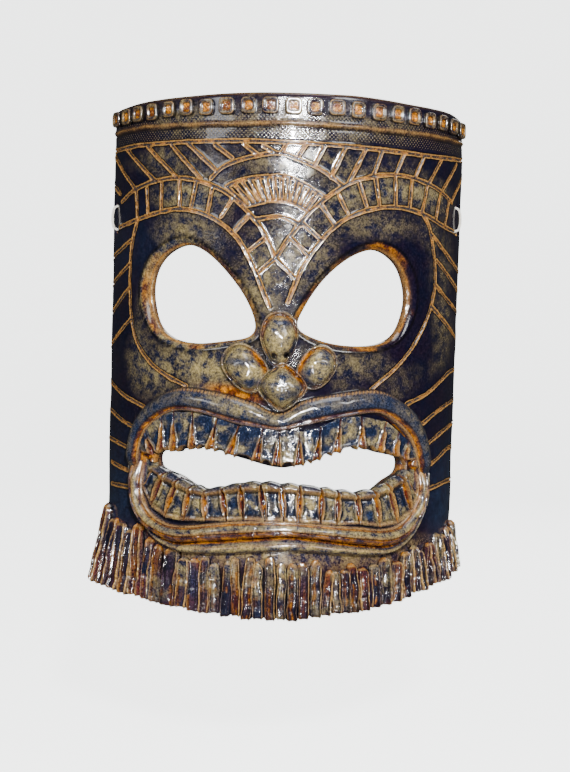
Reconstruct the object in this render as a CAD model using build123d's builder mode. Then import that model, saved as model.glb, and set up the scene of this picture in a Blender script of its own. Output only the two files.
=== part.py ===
"""Tiki wall mask: a bent slab of stoneware with an openwork face, applied clay features and a hanging cord.

The wall that the mask hangs on is the plane y = 0, and the mask bulges towards -Y. The origin is where the
cord lies over its nail. The slab is part of a cylinder whose axis is upright and lies behind the wall.
Places on the face are given as (s, h): s is the distance round the slab's outer face from its middle, to the
right as seen from the front, and h is the height above the lowest point of the fringe.
"""

from build123d import *
from math import cos, degrees, hypot, pi, radians, sin, tan
import os

os.makedirs("parts", exist_ok=True)

# Driving dimensions, in millimetres and degrees
OUTER_R = 126.0  # outer face of the bent slab
WALL = 7.0  # thickness of the slab
HALF_ANGLE = 63.5  # the slab reaches this far round from its middle
MASK_H = 317.5  # lowest strand to the top of the rim
NAIL_H = 285.0  # height of the nail above the lowest strand
MARGIN = 10.0  # spare height of the bent wall above and below, before its outline is cut
SIDE_S = 139.0  # where the rim and the foot turn into the slab's sides
RIM_LEFT_H, RIM_RIGHT_H, RIM_DROP = 311.5, 312.0, 3.0
FOOT_LEFT_H, FOOT_MIDDLE_H, FOOT_RIGHT_H = 16.0, 10.0, 30.0
LIP_PROUD = 8.0
COIL_PROUD = 9.0
TEETH_PROUD = 6.0
TOOTH_GAP = 0.45
ROOT_PAST = 0.28  # share of its length by which an upper tooth runs on under the lip
STAMPS = 21
STAMP_W, STAMP_H, STAMP_PROUD, STAMP_CORNER_R = 10.0, 11.0, 2.4, 2.2
STAMP_WELL, STAMP_WELL_DEPTH, STAMP_WELL_CORNER_R = 5.4, 1.2, 0.9
STAMP_FIRST, STAMP_PITCH = -134.0, 13.3
STAMP_H_MIDDLE, STAMP_H_DROP = 309.0, 2.6
STRAND_TOP_PROUD, STRAND_FOOT_PROUD = 3.2, 7.0
STRAND_SHOULDER = 2.0  # height over which the top of a strand slopes down to the slab
STRAND_TAPER = 9.0  # a strand is thickest this far above its foot
STRAND_FREE = 22.0  # height of the part of a strand that leans away from the slab
STRAND_GAP = 0.35  # between neighbouring strands
STRAND_ROUND = 1.7
CORD_D = 1.5
CORD_HOLE_D = 4.0
CORD_PROUD = 2.6  # the cord's middle stands this far out of the face between its two holes
CORD_BEND_MOST = 12.0
NAIL_BEND_R = 4.0  # the cord lies tight over the nail
KNOT_D = 4.6
KNOT_BEHIND, KNOT_ASIDE = 2.0, 1.2  # from the inner face, and from the hole towards the middle
DEEP = 120.0  # longer than the mask is deep

INNER_R = OUTER_R - WALL
AXIS_Y = OUTER_R * cos(radians(HALF_ANGLE))
FRONT = Plane.XZ  # a sketch on it is seen from the front, and a positive extrusion comes forwards


def up(h):
    """Height above the lowest strand, as a height in the part's frame."""
    return h - NAIL_H


def across(s):
    """How far to the side a place s round the outer face lies, seen from the front."""
    return OUTER_R * sin(s / OUTER_R)


def seen(*places):
    """Places on the outer face as they are drawn on the front plane."""
    return [(across(s), up(h)) for s, h in places]


def on_face(s, h, proud=0.0):
    """The point at (s, h), proud of the outer face by the given distance."""
    angle = s / OUTER_R
    r = OUTER_R + proud
    return Vector(r * sin(angle), AXIS_Y - r * cos(angle), up(h))


def face_plane(s, h):
    """A plane that touches the outer face at (s, h) and looks straight out of it."""
    angle = s / OUTER_R
    return Plane(on_face(s, h), x_dir=(cos(angle), sin(angle), 0), z_dir=(sin(angle), -cos(angle), 0))


def round_wall(inner, outer):
    """The upright round wall between two radii, cut off at the plane of the house wall."""
    with BuildPart() as wall:
        with BuildSketch(Plane.XY.offset(up(-MARGIN))):
            with Locations((0, AXIS_Y)):
                Circle(outer)
                Circle(inner, mode=Mode.SUBTRACT)
            with Locations((0, DEEP)):
                Rectangle(4 * outer, 2 * DEEP, mode=Mode.SUBTRACT)
        extrude(amount=MASK_H + 2 * MARGIN)
    return wall.part


slab_blank = round_wall(INNER_R, OUTER_R)
lip_layer = round_wall(OUTER_R, OUTER_R + LIP_PROUD)
coil_layer = round_wall(OUTER_R, OUTER_R + COIL_PROUD)
teeth_layer = round_wall(OUTER_R, OUTER_R + TEETH_PROUD)
with BuildPart() as core:
    with BuildSketch(Plane.XY.offset(up(-MARGIN))):
        with Locations((0, AXIS_Y)):
            Circle(OUTER_R)
    extrude(amount=MASK_H + 2 * MARGIN)
slab_core = core.part

# ---- the slab, with its eyes, mouth and cord holes ----

LEFT_EYE = ((-65, 226), (-48, 218), (-30, 199), (-21, 181), (-24, 172), (-40, 168.5),
            (-60, 166.5), (-77, 169), (-90, 178), (-96, 195), (-93, 210), (-82, 221))
RIGHT_EYE = ((54, 226), (38, 221), (22, 208), (10, 191), (6, 178), (20, 170.5),
             (40, 167.5), (60, 169), (74, 177), (81, 195), (77, 211), (68, 221))
EYES = ((-57, 195, LEFT_EYE), (43, 196, RIGHT_EYE))
MOUTH = ((-84, 89), (-84.5, 98), (-70, 100.5), (-48, 103.5), (-25, 98), (0, 93.5), (23, 102), (40, 107),
         (62, 102), (77, 99), (77.5, 90), (67, 84.5), (50, 76.5), (22, 81), (0, 83), (-25, 83), (-50, 78),
         (-68, 84.5))
CORD_HOLES = ((-134, 252), (-134, 236), (131, 257), (131, 241))

with BuildPart() as slab_wall:
    add(slab_blank)
    with BuildSketch(FRONT):
        with BuildLine():
            top = ThreePointArc(*seen((-SIDE_S, RIM_LEFT_H), (0, MASK_H), (SIDE_S, RIM_RIGHT_H)))
            foot = ThreePointArc(*seen((SIDE_S, FOOT_RIGHT_H), (0, FOOT_MIDDLE_H), (-SIDE_S, FOOT_LEFT_H)))
            Polyline(
                top @ 1, (OUTER_R, up(RIM_RIGHT_H - RIM_DROP)), (OUTER_R, up(FOOT_RIGHT_H)), foot @ 0
            )
            Polyline(
                foot @ 1, (-OUTER_R, up(FOOT_LEFT_H)), (-OUTER_R, up(RIM_LEFT_H - RIM_DROP)), top @ 0
            )
        make_face()
    extrude(amount=DEEP, mode=Mode.INTERSECT)
    for middle, height, outline in EYES:
        with BuildSketch(face_plane(middle, height)):
            with BuildLine():
                Spline(
                    [(OUTER_R * sin((s - middle) / OUTER_R), h - height) for s, h in outline],
                    periodic=True,
                )
            make_face()
        extrude(amount=2 * WALL, both=True, mode=Mode.SUBTRACT)
    with BuildSketch(FRONT):
        with BuildLine():
            Spline(seen(*MOUTH), periodic=True)
        make_face()
    extrude(amount=DEEP, mode=Mode.SUBTRACT)
    for s, h in CORD_HOLES:
        with BuildSketch(face_plane(s, h)):
            Circle(CORD_HOLE_D / 2)
        extrude(amount=2 * WALL, both=True, mode=Mode.SUBTRACT)
slab_wall.part.label = "slab_wall"
export_step(slab_wall.part, "parts/slab_wall.step")

# ---- the row of square stamped pads round the rim ----


def stamp_height(s):
    """The pads follow the rim, which is a little lower at both ends."""
    return STAMP_H_MIDDLE - STAMP_H_DROP * (s / STAMP_FIRST) ** 2


stamp_planes = [
    face_plane(s, stamp_height(s)) for s in (STAMP_FIRST + STAMP_PITCH * i for i in range(STAMPS))
]
with BuildPart() as rim_stamps:
    with BuildSketch(*stamp_planes):
        RectangleRounded(STAMP_W, STAMP_H, STAMP_CORNER_R)
    extrude(amount=STAMP_PROUD, both=True)
    with BuildSketch(*[plane.offset(STAMP_PROUD) for plane in stamp_planes]):
        RectangleRounded(STAMP_WELL, STAMP_WELL, STAMP_WELL_CORNER_R)
    extrude(amount=-STAMP_WELL_DEPTH, mode=Mode.SUBTRACT)
    add(slab_core, mode=Mode.SUBTRACT)
rim_stamps.part.label = "rim_stamps"
export_step(rim_stamps.part, "parts/rim_stamps.step")

# ---- the nose: four lumps of clay pressed on, each shaped to the ones before it ----

# name, place, half width, half height, how far it stands out of the face, turn in degrees
NOSE = (
    ("nose_bridge", (-6, 171), 11.5, 16.5, 13.5, 0),
    ("nostril_left", (-26, 153), 12.0, 15.5, 11.5, 43),
    ("nostril_right", (17, 154.5), 10.5, 14.0, 11.5, -34),
    ("nose_tip", (-3, 142.5), 15.0, 15.0, 16.5, 0),
)
nose_parts = []
for name, place, half_w, half_h, proud, turned in NOSE:
    ball = scale(Sphere(1), by=(half_w, half_h, proud))
    spot = face_plane(*place).location * Rotation(0, 0, turned)
    with BuildPart() as lump:
        with Locations(spot):
            add(ball)
        add(slab_core, mode=Mode.SUBTRACT)
        for earlier in nose_parts:
            add(earlier, mode=Mode.SUBTRACT)
    lump.part.label = name
    export_step(lump.part, f"parts/{name}.step")
    nose_parts.append(lump.part)

# ---- the lips ----

LIP_TOP = ((-111, 90), (-106, 111), (-95, 126), (-80, 135), (-64, 140), (-40, 138), (-20, 133), (-4, 127),
           (10, 135), (25, 138.5), (45, 141.5), (60, 141), (75, 134.5), (88, 126), (99, 110), (103.5, 90))
LIP_INSIDE = ((90, 90), (82, 108), (70, 119.5), (55, 126.5), (30, 123), (10, 118.5), (0, 116), (-10, 116),
              (-30, 118.5), (-50, 123.5), (-68, 124.5), (-82, 118), (-93, 108), (-98, 90))
LIP_FOOT = ((103.5, 90), (102, 70), (92, 53.5), (78, 43), (60, 39.5), (30, 41.5), (0, 43), (-40, 39.5),
            (-60, 38.5), (-76, 41.5), (-92, 50), (-105, 65), (-111, 90))
LIP_GROOVE = ((-109.5, 90), (-107, 70), (-99.5, 57.5), (-90, 50.5), (-70, 44), (-50, 46), (-10, 51),
              (10, 51.5), (50, 46), (66, 44.5), (80, 47.5), (91, 56.5), (99.5, 70), (102, 90))
COIL_INSIDE = ((90, 90), (88, 73), (77, 60.5), (64, 56.5), (40, 59), (0, 62), (-30, 61), (-56, 56.5),
               (-72, 56), (-86, 62), (-93, 73), (-94, 90))

with BuildPart() as upper_lip:
    with BuildSketch(FRONT):
        with BuildLine():
            outside = Spline(seen(*LIP_TOP))
            inside = Spline(seen(*LIP_INSIDE))
            Line(outside @ 1, inside @ 0)
            Line(inside @ 1, outside @ 0)
        make_face()
    extrude(amount=DEEP)
    add(lip_layer, mode=Mode.INTERSECT)
    for nose_part in nose_parts:
        add(nose_part, mode=Mode.SUBTRACT)
upper_lip.part.label = "upper_lip"
export_step(upper_lip.part, "parts/upper_lip.step")

with BuildPart() as lower_lip:
    with BuildSketch(FRONT):
        with BuildLine():
            outside = Spline(seen(*LIP_FOOT))
            inside = Spline(seen(*LIP_GROOVE))
            Line(outside @ 1, inside @ 0)
            Line(inside @ 1, outside @ 0)
        make_face()
    extrude(amount=DEEP)
    add(lip_layer, mode=Mode.INTERSECT)
lower_lip.part.label = "lower_lip"
export_step(lower_lip.part, "parts/lower_lip.step")

with BuildPart() as lower_lip_coil:
    with BuildSketch(FRONT):
        with BuildLine():
            outside = Spline(seen(*reversed(LIP_GROOVE)))
            inside = Spline(seen(*reversed(COIL_INSIDE)))
            Line(outside @ 1, inside @ 0)
            Line(inside @ 1, outside @ 0)
        make_face()
    extrude(amount=DEEP)
    add(coil_layer, mode=Mode.INTERSECT)
lower_lip_coil.part.label = "lower_lip_coil"
export_step(lower_lip_coil.part, "parts/lower_lip_coil.step")

# ---- the teeth: blocks between folds above, blocks with rolled tops between clefts below ----

# s and height at the apex and at the foot of each fold between the upper teeth
UPPER_FOLDS = ((-91, 108, -85, 97), (-79, 118, -78, 101), (-70, 119, -69, 100), (-57, 120, -56, 103),
               (-42, 118, -45, 103), (-29, 114, -33, 100), (-14, 114, -17, 97), (-4, 112, -5, 94.5),
               (8, 111, 8, 95), (20, 114, 18, 98), (32, 120, 30, 103), (46, 121, 46, 106),
               (62, 118, 58, 104), (72, 112, 69, 101), (80, 107, 77, 99.5), (88, 98, 82, 92))
# s and height at the top and at the root of each cleft between the lower teeth
LOWER_CLEFTS = ((-86, 86, -91, 72), (-76, 80, -84, 65), (-66, 80, -74, 61), (-57, 77, -61, 60),
                (-48, 77, -47, 61), (-37, 79, -34, 62), (-26, 82, -24, 63), (-14, 84, -11, 63),
                (-2, 83, 0, 63), (9, 83, 9, 63), (22, 81, 22, 62), (32, 79, 32, 61), (44, 77, 46, 61),
                (56, 77, 60, 59), (65, 81, 73, 60), (76, 84, 84, 66), (83, 89, 88, 75))


def root(fold, aside):
    """Where the line of a fold ends under the lip, moved aside."""
    s, h, foot_s, foot_h = fold
    return s + ROOT_PAST * (s - foot_s) + aside, h + ROOT_PAST * (h - foot_h)


half_gap = TOOTH_GAP / 2
with BuildPart() as upper_teeth:
    for left, right in zip(UPPER_FOLDS, UPPER_FOLDS[1:]):
        with BuildSketch(FRONT):
            with BuildLine():
                Polyline(
                    seen(
                        root(left, half_gap),
                        root(right, -half_gap),
                        (right[2] - half_gap, right[3]),
                        (left[2] + half_gap, left[3]),
                    ),
                    close=True,
                )
            make_face()
        extrude(amount=DEEP)
    add(teeth_layer, mode=Mode.INTERSECT)
    add(upper_lip.part, mode=Mode.SUBTRACT)
upper_teeth.part.label = "upper_teeth"
export_step(upper_teeth.part, "parts/upper_teeth.step")

with BuildPart() as lower_teeth:
    for left, right in zip(LOWER_CLEFTS, LOWER_CLEFTS[1:]):
        with BuildSketch(FRONT):
            with BuildLine():
                Polyline(
                    seen(
                        (left[0] + half_gap, left[1] - 1),
                        ((left[0] + right[0]) / 2, (left[1] + right[1]) / 2 + 1),
                        (right[0] - half_gap, right[1] - 1),
                        (right[2] - half_gap, right[3]),
                        (left[2] + half_gap, left[3]),
                    ),
                    close=True,
                )
            make_face()
        extrude(amount=DEEP)
    add(teeth_layer, mode=Mode.INTERSECT)
    add(lower_lip_coil.part, mode=Mode.SUBTRACT)
lower_teeth.part.label = "lower_teeth"
export_step(lower_teeth.part, "parts/lower_teeth.step")

# ---- the fringe of clay strands round the foot ----

STRAND_EDGES = (-139.4, -131, -122, -110, -101, -92, -85, -78, -66, -57, -50, -43, -36, -30, -24, -17,
                -10, -3, 3, 10, 17, 24, 30, 36, 42, 48, 55, 62, 70, 78, 86, 94, 100, 106, 112, 120,
                128, 134, 139.4)


def between(s, table):
    """The value at s on straight lines between the table's (s, value) pairs."""
    for (s0, v0), (s1, v1) in zip(table, table[1:]):
        if s <= s1:
            return v0 + (v1 - v0) * (max(s, s0) - s0) / (s1 - s0)
    return table[-1][1]


STRAND_TOPS = ((-140, 58), (-118, 51), (-97, 50), (-88, 45), (-80, 41), (-66, 36), (-48, 34), (-20, 38),
               (15, 37), (25, 34), (52, 33), (70, 35), (88, 40), (112, 43), (140, 54))
STRAND_FEET = ((-140, 9), (-108, 7), (-82, 4.5), (-47, 2), (0, 0), (47, 5), (75, 9), (100, 14),
               (124, 17), (140, 22))
# how far the foot of a strand stands away from the slab
STRAND_LEAN = ((-140, 8.5), (-112, 4), (-80, 0.5), (80, 0.5), (112, 2), (140, 3.5))


def from_axis(edge):
    """How far the middle of an edge is from the slab's axis."""
    middle = edge.center()
    return hypot(middle.X, middle.Y - AXIS_Y)


for number, (left, right) in enumerate(zip(STRAND_EDGES, STRAND_EDGES[1:]), start=1):
    s = (left + right) / 2
    top, foot, lean = (between(s, table) for table in (STRAND_TOPS, STRAND_FEET, STRAND_LEAN))
    start_angle = degrees((left + STRAND_GAP / 2) / OUTER_R)
    turn = degrees((right - left - STRAND_GAP) / OUTER_R)
    radial = Plane((0, AXIS_Y, 0), x_dir=(sin(radians(start_angle)), -cos(radians(start_angle)), 0),
                   z_dir=(cos(radians(start_angle)), sin(radians(start_angle)), 0))
    with BuildPart() as strand:
        with BuildSketch(radial):
            with BuildLine():
                Polyline(
                    (OUTER_R, -up(top)),
                    (OUTER_R + STRAND_TOP_PROUD, -up(top - STRAND_SHOULDER)),
                    (OUTER_R + lean + STRAND_FOOT_PROUD, -up(foot + STRAND_TAPER)),
                    (OUTER_R + lean + STRAND_FOOT_PROUD - 1, -up(foot)),
                    (OUTER_R + lean, -up(foot)),
                    (OUTER_R, -up(foot + STRAND_FREE)),
                    close=True,
                )
            make_face()
        revolve(axis=Axis((0, AXIS_Y, 0), (0, 0, 1)), revolution_arc=turn)
        long_edges = strand.edges().filter_by(GeomType.LINE)
        fillet(long_edges.sort_by(from_axis)[-4:], radius=STRAND_ROUND)
    strand.part.label = f"fringe_strand_{number:02d}"
    export_step(strand.part, f"parts/fringe_strand_{number:02d}.step")

# ---- the hanging cord: knot, out through the lower hole, in through the upper one, over the nail ----


def cord_side(sign, lower, upper):
    """The route on one side, from the knot behind the lower hole to the run that goes to the nail."""
    (s_low, h_low), (s_up, h_up) = lower, upper
    return [
        on_face(s_low - sign * KNOT_ASIDE, h_low, -WALL - KNOT_BEHIND),
        on_face(s_low, h_low, 1.0),
        on_face(s_low, h_low + 5.0, CORD_PROUD),
        on_face(s_up, h_up - 5.0, CORD_PROUD),
        on_face(s_up, h_up, 1.0),
        on_face(s_up - sign * 1.0, h_up + 0.5, -WALL - 1.5),
    ]


left_route = cord_side(-1, CORD_HOLES[1], CORD_HOLES[0])
right_route = cord_side(1, CORD_HOLES[3], CORD_HOLES[2])
route = [*left_route, Vector(0, -CORD_D, 0), *reversed(right_route)]
bends = []
for before, corner, after in zip(route, route[1:], route[2:]):
    turn = (corner - before).get_angle(after - corner)
    shorter = min((corner - before).length, (after - corner).length)
    bends.append(min(0.45 * shorter / tan(radians(turn) / 2), CORD_BEND_MOST))
bends[len(left_route) - 1] = NAIL_BEND_R
print("cord bends", [round(r, 1) for r in bends])

with BuildPart() as hanging_cord:
    with BuildLine() as cord_line:
        FilletPolyline(*route, radius=bends)
    with BuildSketch(Plane(route[0], z_dir=route[1] - route[0])):
        Circle(CORD_D / 2)
    sweep()
hanging_cord.part.label = "hanging_cord"
export_step(hanging_cord.part, "parts/hanging_cord.step")
cord_length = sum(edge.length for edge in cord_line.edges())
print("cord length", round(cord_length, 1),
      "volume share", round(hanging_cord.part.volume / (cord_length * pi * CORD_D**2 / 4), 4))

for side, end in (("left", route[0]), ("right", route[-1])):
    with BuildPart() as knot:
        with Locations(end):
            Sphere(KNOT_D / 2)
        add(slab_wall.part, mode=Mode.SUBTRACT)
        add(hanging_cord.part, mode=Mode.SUBTRACT)
        split(bisect_by=Plane.XZ, keep=Keep.TOP)
    knot.part.label = f"cord_knot_{side}"
    export_step(knot.part, f"parts/cord_knot_{side}.step")
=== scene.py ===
"""A tiki wall mask in glazed stoneware, hung by a cotton cord.

Lengths are in millimetres up to the moment a mesh is made, and metres from there on. A place on the face
is (s, h): s is the distance round the slab's outer face from its middle, to the right as seen from the
front, and h is the height above the lowest clay strand. "Proud" is the distance out of the outer face.

Seven marks are worked out at each point of the clay, from 0 to 1: where the glaze is tan, amber, khaki,
slate or rust, where shade is painted in nearly black, and where the clay is woven. The eighth, line, is 1 in
the middle of a carved line.
"""

import bpy
import math
import numpy as np
from mathutils import Matrix, Vector


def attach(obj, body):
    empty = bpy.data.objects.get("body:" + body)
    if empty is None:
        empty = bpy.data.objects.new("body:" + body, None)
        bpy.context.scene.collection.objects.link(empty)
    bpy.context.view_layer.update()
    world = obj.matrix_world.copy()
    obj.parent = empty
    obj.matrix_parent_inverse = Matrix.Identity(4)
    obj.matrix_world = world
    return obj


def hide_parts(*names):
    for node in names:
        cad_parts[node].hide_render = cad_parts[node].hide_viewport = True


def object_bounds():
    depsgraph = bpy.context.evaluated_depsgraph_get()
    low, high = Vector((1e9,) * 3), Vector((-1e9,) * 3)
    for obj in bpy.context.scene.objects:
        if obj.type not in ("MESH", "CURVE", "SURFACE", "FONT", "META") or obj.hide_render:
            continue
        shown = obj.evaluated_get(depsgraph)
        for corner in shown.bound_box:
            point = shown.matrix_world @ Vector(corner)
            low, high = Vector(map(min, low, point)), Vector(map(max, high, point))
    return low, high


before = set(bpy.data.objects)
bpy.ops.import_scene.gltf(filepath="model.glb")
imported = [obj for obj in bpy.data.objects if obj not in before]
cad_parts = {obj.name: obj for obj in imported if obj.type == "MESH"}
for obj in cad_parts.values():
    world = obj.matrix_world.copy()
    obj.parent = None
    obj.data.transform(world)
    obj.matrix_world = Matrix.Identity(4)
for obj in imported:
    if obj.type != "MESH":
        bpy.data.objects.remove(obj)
cad_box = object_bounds()

MM = 0.001
# the slab is bent to a cylinder that reaches HALF_ANGLE to each side of its middle
OUTER_R = 126.0
WALL = 7.0
HALF_ANGLE = math.radians(63.5)
HALF_S = OUTER_R * HALF_ANGLE
AXIS_Y = OUTER_R * math.cos(HALF_ANGLE)
NAIL_H = 285.0
HOUSE_WALL_GAP = 0.05

# ---------------------------------------------------------------- places and numeric tools


def at(s, h, proud=0.0):
    """Points for arrays of s, h and proud: round the cylinder of radius OUTER_R + proud, at height h.
    Nothing passes the plane of the house wall, y = 0."""
    s, h, proud = np.broadcast_arrays(np.asarray(s, float), h, proud)
    angle = s / OUTER_R
    r = OUTER_R + proud
    y = np.minimum(AXIS_Y - r * np.cos(angle), -HOUSE_WALL_GAP)
    return np.stack([r * np.sin(angle), y, h - NAIL_H], axis=-1)


def smooth(x, low=0.0, high=1.0):
    """0 below low, 1 above high, and 3t^2 - 2t^3 between them."""
    t = np.clip((x - low) / (high - low), 0, 1)
    return t * t * (3 - 2 * t)


def bell(x, width):
    """exp(-(x / width)^2)."""
    return np.exp(-((x / width) ** 2))


def lumps(x, y, size, seed):
    """Smooth random values from -1 to 1: a lattice of random numbers, size apart, blended by smooth()."""
    table = np.random.default_rng(seed).random((64, 64)) * 2 - 1
    x, y = np.broadcast_arrays(x, y)
    u, v = x / size + 31.3, y / size + 7.9
    i, j = np.floor(u).astype(int), np.floor(v).astype(int)
    a, b = smooth(u - i), smooth(v - j)
    i, j, k, l = i % 64, j % 64, (i + 1) % 64, (j + 1) % 64
    low = table[i, j] * (1 - a) + table[k, j] * a
    high = table[i, l] * (1 - a) + table[k, l] * a
    return low * (1 - b) + high * b


def curve(points, count, closed=False):
    """count points on a Catmull-Rom curve through the given points, evenly spaced along it."""
    p = np.array(points, float)
    if closed:
        p = np.vstack([p[-1:], p, p[:2]])
    else:
        p = np.vstack([2 * p[0] - p[1], p, 2 * p[-1] - p[-2]])
    t = np.linspace(0, 1, 12, endpoint=False)[:, None, None]
    a, b, c, d = p[:-3], p[1:-2], p[2:-1], p[3:]
    q = 0.5 * (2 * b + (c - a) * t + (2 * a - 5 * b + 4 * c - d) * t**2 + (3 * b - a - 3 * c + d) * t**3)
    q = np.vstack([q.transpose(1, 0, 2).reshape(-1, p.shape[1]), p[-2]])
    length = np.concatenate([[0], np.cumsum(np.linalg.norm(np.diff(q, axis=0), axis=1))])
    where = np.linspace(0, length[-1], count)
    return np.stack([np.interp(where, length, q[:, k]) for k in range(p.shape[1])], axis=1)


def nearest(path, s, h):
    """The nearest point of the path to each (s, h), and how far off it is."""
    x, y = s[:, None], h[:, None]
    a, e = path[:-1], path[1:] - path[:-1]
    along = ((x - a[:, 0]) * e[:, 0] + (y - a[:, 1]) * e[:, 1]) / np.maximum((e**2).sum(1), 1e-9)
    along = np.clip(along, 0, 1)
    u, v = a[:, 0] + along * e[:, 0], a[:, 1] + along * e[:, 1]
    gap = np.hypot(x - u, y - v)
    best = gap.argmin(1)
    row = np.arange(len(s))
    return u[row, best], v[row, best], gap[row, best]


def distance(path, s, h, reach):
    """The distance from each (s, h) to the path, or reach where it is further."""
    out = np.full(np.shape(s), float(reach))
    low, high = path.min(0) - reach, path.max(0) + reach
    near = (s > low[0]) & (s < high[0]) & (h > low[1]) & (h < high[1])
    if near.any():
        out[near] = np.minimum(nearest(path, s[near], h[near])[2], reach)
    return out


def signed_distance(path, s, h, reach):
    """distance(), negative within the closed path: from there a ray to the right crosses it an odd number of
    times."""
    out = distance(path, s, h, reach)
    low, high = path.min(0), path.max(0)
    near = (s > low[0]) & (s < high[0]) & (h > low[1]) & (h < high[1])
    a, b = path[:-1], path[1:]
    x, y = s[near][:, None], h[near][:, None]
    crosses = (a[:, 1] > y) != (b[:, 1] > y)
    rise = np.where(b[:, 1] == a[:, 1], 1e-9, b[:, 1] - a[:, 1])
    within = (crosses & (x < a[:, 0] + (b[:, 0] - a[:, 0]) * (y - a[:, 1]) / rise)).sum(1) % 2 == 1
    out[near] = np.where(within, -out[near], out[near])
    return out


# ---------------------------------------------------------------- meshes

MASKS = ("tan", "amber", "dark", "khaki", "slate", "rust", "weave", "line")


def facing_out(points, face_sets):
    """The faces, turned over if the closed surface's signed volume, the sum of a . (b x c), is negative."""
    volume = 0.0
    for faces in face_sets:
        for k in range(1, faces.shape[1] - 1):
            a, b, c = points[faces[:, 0]], points[faces[:, k]], points[faces[:, k + 1]]
            volume += np.einsum("ij,ij->", a, np.cross(b, c))
    return face_sets if volume > 0 else [faces[:, ::-1] for faces in face_sets]


def grid_faces(rows, columns, wrap=False):
    """Quads over a grid of points numbered row by row; wrap joins the last column to the first."""
    i = np.arange(rows - 1)[:, None]
    j = np.arange(columns if wrap else columns - 1)[None, :]
    k = (j + 1) % columns
    quads = np.stack([i * columns + j, i * columns + k, (i + 1) * columns + k, (i + 1) * columns + j], -1)
    return quads.reshape(-1, 4)


def spread(masks, shape):
    """One flat array for each mask, from arrays or numbers of a grid's shape."""
    return {name: np.broadcast_to(masks.get(name, 0.0), shape).ravel() for name in MASKS}


def sheet(s, h, front, back, **masks):
    """A closed body between two grids at the same (s, h): front and back proud, joined round their edges."""
    rows, columns = s.shape
    count = rows * columns
    quads = grid_faces(rows, columns)
    number = np.arange(count).reshape(rows, columns)
    edge = np.concatenate([number[0, :-1], number[:-1, -1], number[-1, :0:-1], number[:0:-1, 0]])
    ahead = np.roll(edge, -1)
    points = np.concatenate([at(s, h, front).reshape(-1, 3), at(s, h, back).reshape(-1, 3)])
    faces = [quads, quads[:, ::-1] + count, np.stack([ahead, edge, edge + count, ahead + count], -1)]
    flat = {name: np.tile(values, 2) for name, values in spread(masks, s.shape).items()}
    place = np.stack([s.ravel(), h.ravel()], -1)
    return points, facing_out(points, faces), flat, np.tile(place, (2, 1))


def rings(s, h, proud, **masks):
    """A closed body from rings of points, one row each; the middles of the first and last are its poles."""
    count, turns = s.shape
    grid = at(s, h, proud)
    poles = np.stack([grid[0].mean(0), grid[-1].mean(0)])
    points = np.concatenate([grid.reshape(-1, 3), poles])
    j = np.arange(turns)
    k = (j + 1) % turns
    last = (count - 1) * turns
    first_cap = np.stack([k, j, np.full(turns, count * turns)], -1)
    last_cap = np.stack([last + j, last + k, np.full(turns, count * turns + 1)], -1)
    faces = [grid_faces(count, turns, wrap=True), first_cap, last_cap]
    flat = {
        name: np.append(values, [values[:turns].mean(), values[-turns:].mean()])
        for name, values in spread(masks, s.shape).items()
    }
    place = np.stack([np.append(each, [each[0].mean(), each[-1].mean()]) for each in (s, h)], -1)
    return points, facing_out(points, faces), flat, place


def joined(bodies):
    """Several bodies as one."""
    first, face_sets = 0, []
    for points, faces, _, _ in bodies:
        face_sets += [each + first for each in faces]
        first += len(points)
    masks = {name: np.concatenate([body[2][name] for body in bodies]) for name in MASKS}
    return np.concatenate([b[0] for b in bodies]), face_sets, masks, np.concatenate([b[3] for b in bodies])


def linked(name, data):
    """A new object of this data, in the scene."""
    made = bpy.data.objects.new(name, data)
    bpy.context.scene.collection.objects.link(made)
    return made


def stand_for(made, name):
    """The object stands for the frame's node of this name."""
    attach(made, "root")
    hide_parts(name)


def smooth_mesh(name, points, faces, material):
    """A mesh of one material, shaded smooth, from points in metres."""
    mesh = bpy.data.meshes.new(name)
    mesh.from_pydata(points.tolist(), [], faces.tolist())
    mesh.polygons.foreach_set("use_smooth", np.ones(len(mesh.polygons), bool))
    mesh.materials.append(material)
    return mesh


def make(name, body, material):
    """The mesh object of a body, standing for the frame's node of the same name."""
    points, face_sets, masks, place = body
    counts = np.concatenate([np.full(len(faces), faces.shape[1]) for faces in face_sets])
    corners = np.concatenate([faces.ravel() for faces in face_sets]).astype(np.int32)
    mesh = bpy.data.meshes.new(name)
    mesh.vertices.add(len(points))
    mesh.vertices.foreach_set("co", (points * MM).astype(np.float32).ravel())
    mesh.loops.add(len(corners))
    mesh.loops.foreach_set("vertex_index", corners)
    mesh.polygons.add(len(counts))
    mesh.polygons.foreach_set("loop_start", (np.cumsum(counts) - counts).astype(np.int32))
    mesh.polygons.foreach_set("use_smooth", np.ones(len(counts), bool))
    mesh.update(calc_edges=True)
    for mask in MASKS:
        values = np.clip(masks[mask], 0, 1).astype(np.float32)
        mesh.attributes.new(mask, "FLOAT", "POINT").data.foreach_set("value", values)
    mesh.uv_layers.new(name="face").data.foreach_set("uv", (place[corners] * MM).astype(np.float32).ravel())
    mesh.validate()
    mesh.materials.append(material)
    stand_for(linked(name + "_clay", mesh), name)


# ---------------------------------------------------------------- materials


def linear(code):
    """An sRGB hex colour as linear RGBA."""
    values = [int(code[i : i + 2], 16) / 255 for i in (0, 2, 4)]
    return [v / 12.92 if v <= 0.04045 else ((v + 0.055) / 1.055) ** 2.4 for v in values] + [1.0]


def node(tree, kind, inputs=None, **settings):
    """Adds a node: settings are its properties, and an input takes a number, a colour or another socket."""
    made = tree.nodes.new(kind)
    for key, value in settings.items():
        setattr(made, key, value)
    for key, value in (inputs or {}).items():
        if isinstance(value, bpy.types.NodeSocket):
            tree.links.new(value, made.inputs[key])
        else:
            made.inputs[key].default_value = value
    return made


def new_material(name):
    """A new material, and its node tree with nothing in it."""
    material = bpy.data.materials.new(name)
    material.use_nodes = True
    material.node_tree.nodes.clear()
    return material, material.node_tree


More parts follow.
